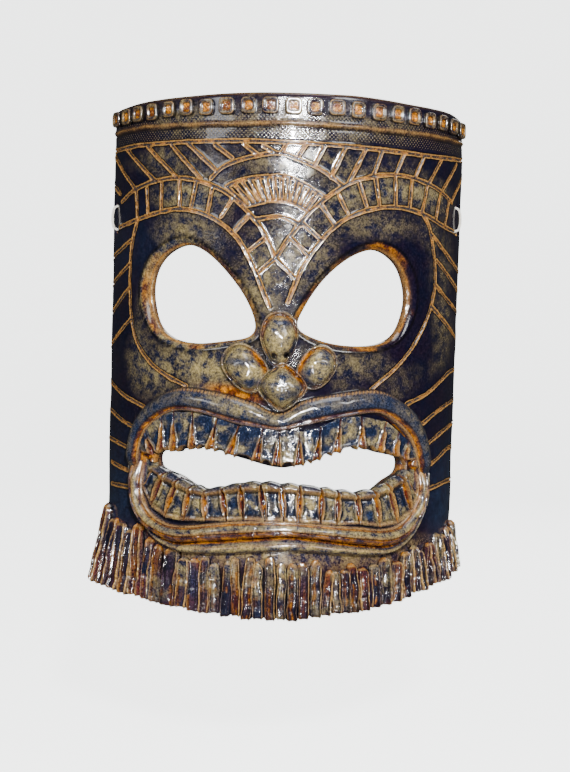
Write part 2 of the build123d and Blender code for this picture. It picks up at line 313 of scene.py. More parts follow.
def band_scale(pitch):
    """The scale at which a diagonal wave texture, sin(10 scale (x + y + z)), repeats each pitch mm."""
    return 2 * math.pi / (10 * pitch * MM)


NAVY, INDIGO, SLATE, KHAKI = (linear(code) for code in ("04061e", "12081c", "1a2740", "9a8856"))
# the nearly black colour in this row is painted shade, for crevices, pits, gaps and dips in the clay and for
# the outsides of carved lines
TAN, AMBER, GLOW, SHADE_BLACK, RUST = (linear(code) for code in ("9c743e", "5a2c0a", "d4860f", "050304", "5a1e0e"))
WEAVE_PITCH = 2.4

# the mark called line falls from 1 to 0 over LINE_REACH
LINE_REACH = 4.0
# the colour along a carved line: distance from its middle, colour and cover; tan and amber are the glaze,
# and the nearly black outside the burrs is painted shade
LINE_STOPS = ((2.5, SHADE_BLACK, 0.0), (1.75, SHADE_BLACK, 0.85), (1.5, SHADE_BLACK, 0.95), (1.3, TAN, 0.9), (0.8, TAN, 1.0),
              (0.6, AMBER, 1.0), (0.0, AMBER, 1.0))


def glazed_stoneware(name, ground=NAVY, cloud=INDIGO, khaki_share=0.4, thin=TAN, runny=0.42):
    """Stoneware clay dipped in a running glaze: a deep wet gloss over the ground colour, with clouds in it.
    Where khaki is marked the glaze ran off and left a milky grey-green film in blotches, more of them the
    lower runny is, and fine flecks. It breaks to the thin colour on edges and pools amber in folds."""
    material, tree = new_material(name)
    place = node(tree, "ShaderNodeTexCoord").outputs["Object"]
    unwrapped = node(tree, "ShaderNodeUVMap", uv_map="face").outputs["UV"]
    # clouds about 14 mm across, blotches 6 mm, flecks 1.1 mm
    clouds, blotches, flecks = (
        node(
            tree, "ShaderNodeTexNoise",
            {"Vector": place, "Scale": 1 / (size * MM), "Detail": detail, "Roughness": 0.66},
        ).outputs[0]
        for size, detail in ((14, 5.0), (6.0, 8.0), (1.1, 2.0))
    )
    # the woven cloth left diamonds: two sets of bands that slope opposite ways
    weave = []
    for turn in (1, -1):
        mirrored = node(tree, "ShaderNodeMapping", {"Vector": unwrapped, "Scale": (turn, 1, 1)}).outputs[0]
        weave.append(node(
            tree, "ShaderNodeTexWave", {"Vector": mirrored, "Scale": band_scale(WEAVE_PITCH)},
            bands_direction="DIAGONAL",
        ).outputs["Fac"])
    diamonds = node(tree, "ShaderNodeMath", {0: weave[0], 1: weave[1]}, operation="MULTIPLY").outputs[0]
    masks = {mask: node(tree, "ShaderNodeAttribute", attribute_name=mask).outputs["Fac"] for mask in MASKS}

    def share(mask, pattern, low, high):
        """The mask, kept where the pattern is above low and full above high."""
        cut = node(tree, "ShaderNodeMapRange", {0: pattern, 1: low, 2: high})
        return node(tree, "ShaderNodeMath", {0: mask, 1: cut.outputs[0]}, operation="MULTIPLY").outputs[0]

    fleck_mask = node(
        tree, "ShaderNodeMath", {0: masks["khaki"], 1: khaki_share, 2: 0.03}, operation="MULTIPLY_ADD"
    )
    # a carved line: amber in its groove, tan on the burrs 0.8 to 1.3 mm from its middle, and painted shade,
    # nearly black, outside them
    lines = node(tree, "ShaderNodeValToRGB", {0: masks["line"]})
    stops = lines.color_ramp.elements
    for from_middle, tint, cover in LINE_STOPS:
        stop = stops.new(1 - from_middle / LINE_REACH)
        stop.color = (*tint[:3], cover)
    stops.remove(stops[0])
    stops.remove(stops[-1])
    # the very bottom of the groove: painted shade, nearly black, with the glaze pooled and glowing amber in
    # places
    pooled_glaze_and_shade = node(
        tree, "ShaderNodeMix", {0: share(0.8, blotches, 0.5, 0.68), 6: SHADE_BLACK, 7: GLOW}, data_type="RGBA"
    )
    colour = ground
    for strength, tint in (
        (share(1.0, clouds, 0.38, 0.62), cloud),
        (share(masks["slate"], blotches, 0.25, 0.6), SLATE),
        (share(masks["khaki"], clouds, 0.25, 0.55), SLATE),
        (share(masks["khaki"], blotches, runny, runny + 0.2), KHAKI),
        (share(fleck_mask.outputs[0], flecks, 0.5, 0.8), KHAKI),
        (share(masks["rust"], blotches, 0.3, 0.55), RUST),
        (share(masks["weave"], diamonds, 0.45, 1.6), KHAKI),
        # the mask of painted shade darkens the glaze to nearly black in crevices, pits, gaps and dips
        (share(masks["dark"], blotches, 0.0, 0.3), SHADE_BLACK),
        (share(masks["amber"], blotches, 0.1, 0.4), AMBER),
        (share(masks["amber"], blotches, 0.44, 0.64), GLOW),
        (share(masks["tan"], flecks, 0.1, 0.42), thin),
        (lines.outputs["Alpha"], lines.outputs["Color"]),
        (share(masks["line"], masks["line"], 0.83, 0.87), pooled_glaze_and_shade.outputs[2]),
    ):
        colour = node(tree, "ShaderNodeMix", {0: strength, 6: colour, 7: tint}, data_type="RGBA").outputs[2]
    # the flecks make the glaze uneven from dark to bright, and so do blotches with its gloss
    mottle = node(tree, "ShaderNodeMapRange", {0: flecks, 1: 0.34, 2: 0.62, 3: 0.4, 4: 1.25}).outputs[0]
    colour = node(
        tree, "ShaderNodeMix", {0: 1.0, 6: colour, 7: mottle}, data_type="RGBA", blend_type="MULTIPLY"
    ).outputs[2]
    uneven = node(tree, "ShaderNodeMapRange", {0: blotches, 3: 0.08, 4: 0.18}).outputs[0]
    woven = node(
        tree, "ShaderNodeMath", {0: share(masks["weave"], diamonds, 0.0, 1.0), 1: 0.4, 2: blotches},
        operation="MULTIPLY_ADD",
    ).outputs[0]
    relief = node(tree, "ShaderNodeMath", {0: flecks, 1: 0.12, 2: woven}, operation="MULTIPLY_ADD")
    bump = node(
        tree, "ShaderNodeBump", {"Height": relief.outputs[0], "Strength": 0.42, "Distance": 0.5 * MM}
    )
    shader = node(
        tree, "ShaderNodeBsdfPrincipled",
        {"Base Color": colour, "Roughness": uneven, "Normal": bump.outputs[0], "IOR": 1.55,
         "Coat Weight": 0.5, "Coat Roughness": 0.03, "Coat IOR": 1.5},
    )
    node(tree, "ShaderNodeOutputMaterial", {"Surface": shader.outputs[0]})
    return material


def cotton():
    """Twisted cotton cord: soft, matt and nearly white, fuzzy, with strands about half a millimetre wide."""
    material, tree = new_material("twisted_cotton")
    place = node(tree, "ShaderNodeTexCoord").outputs["Object"]
    twist = node(
        tree, "ShaderNodeTexWave", {"Vector": place, "Scale": band_scale(0.6), "Distortion": 1.5},
        bands_direction="DIAGONAL",
    ).outputs["Fac"]
    fluff = node(tree, "ShaderNodeTexNoise", {"Vector": place, "Scale": 1 / (0.4 * MM)}).outputs[0]
    # painted shade: the cord is painted darker in the hollows of its twist and lighter on its crests
    colour = node(
        tree, "ShaderNodeMix", {0: twist, 6: linear("c9c0b0"), 7: linear("f1ece0")}, data_type="RGBA"
    ).outputs[2]
    height = node(tree, "ShaderNodeMath", {0: twist, 1: fluff}, operation="ADD").outputs[0]
    bump = node(tree, "ShaderNodeBump", {"Height": height, "Strength": 0.6, "Distance": 0.2 * MM})
    shader = node(
        tree, "ShaderNodeBsdfPrincipled",
        {"Base Color": colour, "Roughness": 0.85, "Normal": bump.outputs[0], "Sheen Weight": 0.2},
    )
    node(tree, "ShaderNodeOutputMaterial", {"Surface": shader.outputs[0]})
    return material


# one glaze, over all the clay: plum on the stamps, bluer and milkier on lips, teeth and nose, and purple
# brown with golden edges on the fringe
SLAB_GLAZE = glazed_stoneware("glazed_stoneware_slab")
STAMP_GLAZE = glazed_stoneware("glazed_stoneware_stamps", linear("1d1222"), khaki_share=0.5)
LIP_GLAZE = glazed_stoneware("glazed_stoneware_lips", linear("090d28"), linear("1a253e"), runny=0.4)
TEETH_GLAZE = glazed_stoneware("glazed_stoneware_teeth", linear("070a20"), linear("161f34"))
NOSE_GLAZE = glazed_stoneware("glazed_stoneware_nose", linear("0a0f2c"), linear("1c2840"), runny=0.38)
FRINGE_GLAZE = glazed_stoneware(
    "glazed_stoneware_fringe", linear("120b1c"), linear("362530"), thin=linear("b0884a")
)
COTTON = cotton()

# ---------------------------------------------------------------- camera


def camera():
    """The camera stands 0.85 m in front, level with the eyes, and looks slightly down. It is turned azimuth
    to the left, tipped fall below level and rolled about its own axis, all in radians."""
    azimuth, fall, roll = -0.0322, 0.0572, 0.0276
    level = math.cos(fall)
    forward = Vector((-math.sin(azimuth) * level, math.cos(azimuth) * level, -math.sin(fall)))
    right = Vector((math.cos(azimuth), math.sin(azimuth), 0))
    upward = right.cross(forward)
    side = right * math.cos(roll) + upward * math.sin(roll)
    over = upward * math.cos(roll) - right * math.sin(roll)
    data = bpy.data.cameras.new("camera")
    data.sensor_fit, data.sensor_height, data.sensor_width = "VERTICAL", 36, 36
    data.lens = 60.62
    data.shift_x, data.shift_y = 0.0060, -0.0038
    made = linked("camera", data)
    turn = Matrix((side, over, -forward)).transposed().to_4x4()
    made.matrix_world = Matrix.Translation((-0.02907, -0.8463, -0.0960)) @ turn
    bpy.context.scene.camera = made


camera()

# ---------------------------------------------------------------- the hanging cord and its knots

CORD_D = 1.5
# s and height of the left upper, left lower, right upper and right lower hole
CORD_HOLES = ((-134, 252), (-134, 236), (131, 257), (131, 241))
CORD_HOLE_R = 2.0
CORD_PROUD = 2.6


def cord_side(sign, lower, upper):
    """The route on one side, from the knot behind the lower hole to the run that goes to the nail."""
    (s_low, h_low), (s_up, h_up) = lower, upper
    places = (
        (s_low - sign * 1.2, h_low, -WALL - 2.0), (s_low, h_low, 1.0), (s_low, h_low + 5.0, CORD_PROUD),
        (s_up, h_up - 5.0, CORD_PROUD), (s_up, h_up, 1.0), (s_up - sign * 1.0, h_up + 0.5, -WALL - 1.5),
    )
    angles = [(s / OUTER_R, OUTER_R + proud, h) for s, h, proud in places]
    return [(r * math.sin(a), AXIS_Y - r * math.cos(a), h - NAIL_H) for a, r, h in angles]


left_side = cord_side(-1, CORD_HOLES[1], CORD_HOLES[0])
right_side = cord_side(1, CORD_HOLES[3], CORD_HOLES[2])
NAIL = (0.0, -CORD_D, 0.0)
NEAR_NAIL = 6 * CORD_D


def towards(start, end, length):
    """The point at this length from start on the way to end."""
    way = np.subtract(end, start)
    return tuple(np.add(start, way * length / np.linalg.norm(way)))


def hanging_cord():
    """The cord from the knot behind one lower hole, out and in again, over the nail, and down likewise."""
    over_nail = (towards(NAIL, left_side[-1], NEAR_NAIL), NAIL, towards(NAIL, right_side[-1], NEAR_NAIL))
    route = [*left_side, *over_nail, *reversed(right_side)]
    data = bpy.data.curves.new("hanging_cord", "CURVE")
    data.dimensions = "3D"
    data.bevel_depth, data.bevel_resolution = CORD_D / 2 * MM, 4
    data.use_fill_caps = True
    spline = data.splines.new("NURBS")
    spline.points.add(len(route) - 1)
    for point, (x, y, z) in zip(spline.points, route):
        point.co = (x * MM, y * MM, z * MM, 1)
    spline.order_u = 3
    spline.use_endpoint_u = True
    spline.resolution_u = 12
    data.materials.append(COTTON)
    made = linked("hanging_cord_cotton", data)
    stand_for(made, "hanging_cord")
    return made


KNOT_STEPS, KNOT_TURNS = 96, 12
KNOT_SIZE = 0.52
KNOT_TUBE_R = 0.68


def knot(name, middle):
    """A tight overhand knot: a tube along the trefoil x = sin t + 2 sin 2t, y = cos t - 2 cos 2t,
    z = -1.3 sin 3t, about 4.6 mm across, and flat where it is pressed to the house wall."""
    t = np.linspace(0, 2 * np.pi, KNOT_STEPS, endpoint=False)[:, None]
    path = np.hstack([np.sin(t) + 2 * np.sin(2 * t), np.cos(t) - 2 * np.cos(2 * t), -1.3 * np.sin(3 * t)])
    path = path * KNOT_SIZE
    ahead = np.roll(path, -1, 0) - np.roll(path, 1, 0)
    ahead /= np.linalg.norm(ahead, axis=1)[:, None]
    side = np.cross(ahead, path)
    side /= np.linalg.norm(side, axis=1)[:, None]
    over = np.cross(ahead, side)
    turn = np.linspace(0, 2 * np.pi, KNOT_TURNS, endpoint=False)
    round_path = side[:, None] * np.cos(turn)[:, None] + over[:, None] * np.sin(turn)[:, None]
    points = (path[:, None] + KNOT_TUBE_R * round_path).reshape(-1, 3) + middle
    points[:, 1] = np.minimum(points[:, 1], -HOUSE_WALL_GAP)
    points *= MM
    here = np.arange(KNOT_TURNS)
    beside = (here + 1) % KNOT_TURNS
    last = (KNOT_STEPS - 1) * KNOT_TURNS
    closing = np.stack([last + here, last + beside, beside, here], -1)
    faces = facing_out(points, [grid_faces(KNOT_STEPS, KNOT_TURNS, wrap=True), closing])
    made = linked(name + "_cotton", smooth_mesh(name, points, np.concatenate(faces), COTTON))
    stand_for(made, name)
    return made


cord = hanging_cord()
knots = [knot("cord_knot_left", left_side[0]), knot("cord_knot_right", right_side[0])]

# ---------------------------------------------------------------- the slab

LEFT_EYE = ((-65, 226), (-48, 218), (-30, 199), (-21, 181), (-24, 172), (-40, 168.5),
            (-60, 166.5), (-77, 169), (-90, 178), (-96, 195), (-93, 210), (-82, 221))
RIGHT_EYE = ((54, 226), (38, 221), (22, 208), (10, 191), (6, 178), (20, 170.5),
             (40, 167.5), (60, 169), (74, 177), (81, 195), (77, 211), (68, 221))
LEFT_BEVEL = ((-66, 231), (-47, 222), (-28, 203), (-18, 184), (-18.5, 170), (-40, 164.5), (-62, 162),
              (-80, 165.5), (-94, 174), (-103, 188), (-104, 203), (-97, 217), (-83, 227))
RIGHT_BEVEL = ((55, 231), (37, 225), (20, 211), (7, 193), (2, 178), (18, 167), (40, 163.5), (61, 165.5),
               (75, 172), (84, 183), (88, 198), (84, 213), (72, 226))
MOUTH = ((-84, 89), (-84.5, 98), (-70, 100.5), (-48, 103.5), (-25, 98), (0, 93.5), (23, 102), (40, 107),
         (62, 102), (77, 99), (77.5, 90), (67, 84.5), (50, 76.5), (22, 81), (0, 83), (-25, 83), (-50, 78),
         (-68, 84.5))

# the carved lines, from their upper or left end
CROWN = ((-50, 266), (-42, 273), (-28, 278), (-10, 281), (0, 279), (13, 274), (24, 268), (31, 263))
FAN_TOP = ((-40, 261), (-30, 265), (-10, 267.5), (0, 266.5), (10, 261.5), (20, 256))
FAN_FOOT = ((-27, 249.5), (-15, 252.7), (0, 252), (11, 247))
FAN_CORE = ((-22, 241.5), (-10, 243.5), (-4, 243), (6, 239))
LEFT_BROW_TOP = ((-126, 254), (-110, 261), (-90, 265.5), (-70, 266.5), (-50, 262), (-35, 254), (-20, 239),
                 (-15, 231), (-9, 219))
LEFT_BROW_FOOT = ((-128, 238), (-110, 241.5), (-90, 245.5), (-70, 247.8), (-50, 243), (-33, 231), (-22, 213),
                  (-12, 190))
RIGHT_BROW_TOP = ((-9, 219), (0, 233), (12, 248), (31, 263), (50, 270), (70, 272), (90, 269.5), (110, 264.5),
                  (122, 259.5))
RIGHT_BROW_FOOT = ((-1, 193), (7, 213), (18, 230), (32, 243), (50, 250.5), (70, 252.5), (90, 250),
                   (110, 244.5), (132, 240))
LEFT_TEMPLE = ((-107, 242), (-113, 225), (-114.5, 200), (-110, 173), (-96, 156), (-80, 146.5), (-64, 140.5))
RIGHT_TEMPLE = ((90, 250), (98, 239), (104.5, 212), (101, 193), (90, 174), (74, 157), (53, 141.5))
TOP_LINE = ((-139.6, 287), (-100, 288), (-30, 288), (0, 287.5), (70, 286), (100, 286), (139.6, 288))
FOREHEAD_TICKS = (
    ((-137, 283), (-110, 261)), ((-121, 287), (-91, 265)), ((-99, 287), (-74, 267)),
    ((-79, 287), (-57, 266)), ((-66, 287), (-46, 270)), ((-48, 286), (-37, 278)),
    ((-30, 286), (-22, 280.5)), ((-18, 285), (-10, 281)),
    ((-4, 287), (-7, 281)), ((-143, 268), (-128, 259)), ((7, 286), (3, 280)), ((19, 287), (13, 275)),
    ((32, 287), (23, 268)), ((45, 286.5), (34, 265)), ((56, 286), (50, 270)), ((72, 284.5), (66, 272.5)),
    ((89, 285), (82, 272)), ((107, 285), (94, 269)), ((127, 284), (110, 267)), ((140, 279), (122, 261)),
)
BROW_RUNGS = (
    ((-109, 260), (-107, 242.5)), ((-98.5, 261), (-97, 246)), ((-86, 264), (-85.5, 248)),
    ((-72, 266), (-71, 249)), ((-60, 264), (-63, 249)), ((-49, 261), (-52, 245.5)), ((-36, 254), (-43, 243)),
    ((-25, 245), (-34, 235)), ((-15, 231), (-26, 222.5)), ((-9, 219), (-19, 210.5)), ((28, 258), (34, 247)),
    ((41, 266), (46, 252.5)), ((52, 269), (55, 253)), ((66, 271), (67, 253)), ((79, 270), (78, 252.5)),
    ((93, 268), (89, 250.5)), ((107, 264), (103, 248)), ((118, 260), (114, 245)), ((17, 252), (26, 240)),
    ((7, 240), (18, 230.5)), ((0, 231), (11, 221)), ((-9, 219), (3, 207)),
)
SIDE_LINES = (
    ((-140, 218), (-114, 229)), ((-140, 201), (-116, 214)), ((-140, 182), (-116, 199)),
    ((-139, 162), (-113, 180)),
    ((-138, 139), (-120, 132), (-97, 125.5)), ((-137, 121), (-122, 116), (-108, 112)),
    ((-137, 102.5), (-112, 98.5)), ((-133, 87), (-112, 84)), ((-133, 73), (-111, 73.5)),
    ((99, 238), (118, 226), (137, 216)), ((105, 222), (122, 212), (137, 204)),
    ((104, 207), (120, 198), (137, 190)),
    ((102, 193), (115, 185), (136, 173)), ((81, 132), (100, 138), (125, 150), (137, 152.5)),
    ((95, 118.5), (115, 127), (138, 133)), ((103, 106), (118, 112), (140, 118.5)),
    ((105, 92), (127, 100.5), (138, 102)), ((103, 77), (128, 80), (140, 80)),
)
FAN_TICKS = 14
# the fan's ticks run from its foot to its top
FAN_TICK_LINES = tuple(
    (curve(FAN_FOOT, FAN_TICKS)[i], curve(FAN_TOP, FAN_TICKS)[i]) for i in range(FAN_TICKS)
)
CARVED = (
    CROWN, FAN_TOP, FAN_FOOT, FAN_CORE, LEFT_BROW_TOP, LEFT_BROW_FOOT, RIGHT_BROW_TOP, RIGHT_BROW_FOOT,
    LEFT_TEMPLE, RIGHT_TEMPLE, TOP_LINE, *FOREHEAD_TICKS, *BROW_RUNGS, *SIDE_LINES, *FAN_TICK_LINES,
)
BEAD_LINE = ((-139.6, 298), (-100, 299), (-50, 298.2), (0, 299), (50, 298.2), (100, 298.8), (139.6, 298.5))
RIM = ((-139.6, 311.3), (-130, 313.3), (-100, 315), (-60, 316), (-20, 317), (20, 317.2), (42, 317.3),
       (80, 316), (120, 315.8), (139.6, 312))
CORNER_R = 4.0
EDGE_ROUND = 2.2
EYE_ROLL = 3.4
# where the glaze ran thin and khaki: middle s and h, half width and half height, strength
KHAKI_PATCHES = (
    (-66, 256, 30, 10, 0.95), (-75, 236, 30, 9, 0.6), (-104, 190, 9, 26, 0.3), (-55, 152, 30, 10, 1.0),
    (-100, 150, 22, 24, 0.7), (-18, 205, 10, 26, 0.6), (-90, 277, 40, 9, 0.5), (20, 250, 15, 8, 0.5),
    (45, 157, 30, 9, 0.4), (-60, 301, 60, 8, 0.35), (0, 226, 12, 15, 0.5), (72, 262, 30, 6, 0.4),
    (95, 150, 16, 16, 0.35), (0, 41, 105, 9, 1.15), (60, 262, 45, 9, 0.55), (100, 262, 25, 10, 0.4),
    (20, 215, 16, 22, 0.35), (60, 278, 70, 9, 0.25), (118, 195, 16, 50, 0.6), (60, 300, 70, 9, 0.4),
    (-45, 136, 22, 5, 0.7), (0, 276, 20, 8, 0.4), (98, 222, 14, 30, 0.35), (50, 240, 30, 8, 0.3),
)
# cells of the slab's grid, about 0.73 mm a side, and how far round a hole the distance to it is worked out
CELL_COLUMNS, CELL_ROWS = 384, 416
HOLE_REACH = 30
OUTLINE_POINTS = 240
WALL_LAYERS = 4


def rim_height(s):
    """The top edge of the slab: the rim's curve, falling round a quarter circle at both corners."""
    path = curve(RIM, 200)
    into = np.clip((np.abs(s) - (HALF_S - CORNER_R)) / CORNER_R, 0, 1)
    return np.interp(s, path[:, 0], path[:, 1]) - CORNER_R * (1 - np.sqrt(1 - into**2))


def foot_height(s):
    """The foot of the slab, behind the fringe: a shallow arc that is higher on the right."""
    return 10 + 13 * (s / HALF_S) ** 2 + 7 * s / HALF_S


def by_count(corner, keep):
    """Polygons from rows of corners of which only some are kept, as one array for each number kept."""
    counts = keep.sum(1)
    return [corner[counts == n][keep[counts == n]].reshape(-1, n) for n in np.unique(counts) if n >= 3]


def mixed_cells(kept, fine, size):
    """Faces over a grid of cells: single cells in fine blocks, and elsewhere one polygon for a block of
    size x size cells, with a corner halfway wherever its neighbour is fine or it lies on the grid's edge."""
    rows, columns = kept.shape
    across = columns + 1
    i, j = np.nonzero(kept & np.kron(fine, np.ones((size, size), bool)))
    corner = i * across + j
    faces = [np.stack([corner, corner + 1, corner + 1 + across, corner + across], -1)]
    around = [(0, k) for k in range(size)] + [(k, size) for k in range(size)]
    around += [(size, size - k) for k in range(size)] + [(size - k, 0) for k in range(size)]
    i, j = np.nonzero(~fine)
    ring = np.stack([(i * size + di) * across + j * size + dj for di, dj in around], -1)
    padded = np.pad(fine, 1, constant_values=True)
    sides = (padded[i, j + 1], padded[i + 1, j + 2], padded[i + 2, j + 1], padded[i + 1, j])
    keep = np.repeat(np.stack(sides, -1), size, axis=1)
    keep[:, ::size] = True
    return faces + by_count(ring, keep)


def open_edges(faces, count):
    """The directed edges that only one face has."""
    ends = [np.stack([each, np.roll(each, -1, 1)], -1).reshape(-1, 2) for each in faces]
    a, b = np.concatenate(ends).T.astype(np.int64)
    alone = ~np.isin(a * count + b, b * count + a)
    return a[alone], b[alone]


def carved_face(s, h, holes, bevels):
    """How far the glazed face stands proud at each (s, h), and its marks.

    A soft hand-made unevenness, grooves of depth 0.95 exp(-(d/0.55)^2) between burrs of height
    0.55 exp(-((d - 1.05)/0.45)^2) at the distance d from a carved line, a raised bead under the stamps, eye
    bevels that roll down by EYE_ROLL into the holes, and rounded edges. holes holds the distances to both
    eyes, the mouth and the cord holes, and bevels the signed distances to the outer lines of the bevels."""
    wobble = lumps(s, h, 5, 3)
    proud = 0.45 * lumps(s, h, 34, 1) + 0.22 * lumps(s, h, 13, 2) + 0.07 * wobble - 0.3
    line = np.full(s.shape, 9.0)
    for points in CARVED:
        path = curve(points, max(8, int(4 + np.ptp(np.array(points), axis=0).max() / 3)))
        line = np.minimum(line, distance(path, s, h, 6.0))
    line = line * (1 + 0.18 * wobble) + 0.12 * lumps(s, h, 2.2, 4)
    burr = bell(line - 1.05, 0.45) * (0.75 + 0.4 * lumps(s, h, 6, 5))
    cut = bell(line, 0.55)
    proud = proud - 0.95 * cut + 0.55 * burr
    bead_path = curve(BEAD_LINE, 160)
    bead = h - np.interp(s, bead_path[:, 0], bead_path[:, 1]) + 0.3 * lumps(s, h, 9, 6)
    bead_mask = bell(bead, 1.0)
    proud = proud + 0.9 * bead_mask - 0.5 * bell(bead + 2.0, 0.7)
    amber = bare = 0 * s
    tan = 0.75 * bead_mask * (0.7 + 0.4 * lumps(s, h, 4, 10))
    # painted shade in the dip under the bead
    dark = bell(bead + 2.0, 0.8)
    for eye, bevel in zip(holes[:2], bevels):
        roll = (bevel < 0) & (eye > -2)
        # t is 0 at the hole and 1 at the bevel's outer line, and ring is 1 halfway
        t = np.clip(eye / np.maximum(eye - bevel, 1e-6), 0, 1)
        proud = np.where(roll, proud - EYE_ROLL * (1 - t) ** 1.8, proud)
        ring = np.where(roll, 4 * t * (1 - t), 0)
        amber = np.maximum(amber, smooth(ring, 0.5, 1.0) * (0.1 + 0.7 * lumps(s, h, 11, 9)))
        amber = np.maximum(amber, np.where(roll, 0.8 * bell(t - 0.14, 0.07), 0))
        bare = np.maximum(bare, np.where(roll, 0.75, 0))
        tan = np.maximum(tan, np.where(roll, 0.5 * bell(t, 0.22), 0))
        # painted shade along the outer line of each eye bevel
        dark = np.maximum(dark, bell(bevel, 0.9))
    # a pool of amber and rust lies over the upper lip, left of the nose
    pool_s = s + 32
    amber = np.maximum(amber, 1.6 * bell(pool_s / 13, 1) * bell((h - 137.5 + 0.12 * pool_s) / 3, 1))
    mouth, ends = holes[2], np.minimum.reduce(holes[3:])
    proud = proud - 1.2 * bell(mouth, 1.2) - 0.9 * bell(ends, 0.9)
    edge = np.minimum(HALF_S - np.abs(s), np.minimum(rim_height(s) - h, h - foot_height(s)))
    proud = proud - EDGE_ROUND * (1 - np.sqrt(1 - np.clip(1 - edge / EDGE_ROUND, 0, 1) ** 2))
    # two woven bands, above and below the bead
    above = smooth(h, 299.5, 300.5) * (1 - smooth(h, 303, 304.5))
    below = smooth(h, 289.3, 290.2) * (1 - smooth(h, 296, 297))
    weave = np.maximum(above, below) * smooth(HALF_S - np.abs(s), 3, 8)
    khaki = 0.15 * lumps(s, h, 20, 7) - 0.25 * smooth(np.abs(s), 60, 120)
    for middle_s, middle_h, half_s, half_h, strength in KHAKI_PATCHES:
        khaki = khaki + 0.8 * strength * bell((s - middle_s) / half_s, 1) * bell((h - middle_h) / half_h, 1)
    # the clay just outside both corners of the mouth
    from_mouth = np.abs(s + 4)
    corner = smooth(from_mouth, 76, 84) * smooth(from_mouth, 104, 96) * bell((h - 92) / 16, 1)
    khaki = np.clip(np.maximum(khaki, np.maximum(bare * smooth(-s, -60, 40), corner)), 0, 1)
    amber = np.maximum(amber, 0.9 * corner * (lumps(s, h, 5, 11) > 0.1))
    slate = smooth(np.abs(s), 96, 118) * (1 - smooth(h, 60, 130))
    slate = np.clip(slate + 0.35 * bell((h - 225) / 25, 1) * smooth(-s, 60, 100), 0, 1)
    rust = 1.2 * bell(pool_s / 15, 1) * bell((h - 135) / 4, 1) + 0.25 * (1 - smooth(h, 36, 60))
    rust = np.clip(rust, 0, 1)
    tan = np.maximum(tan, 0.35 * bell(edge - 0.5, 0.7))
    # painted shade on the slab behind the fringe and under the lips and teeth, where little of it is seen
    shade_under_parts = np.maximum(1 - smooth(h, 27, 34), bell((h - 92) / 32, 1) * bell(s / 92, 1) ** 2)
    dark = np.maximum(dark, 0.7 * shade_under_parts * (1 - corner) * smooth(np.abs(h - 41), 5, 12))
    carved = np.clip(1 - line / LINE_REACH, 0, 1)
    masks = dict(tan=tan, amber=amber, dark=dark, khaki=khaki, slate=slate, rust=rust)
    return proud, dict(masks, weave=weave, line=carved)


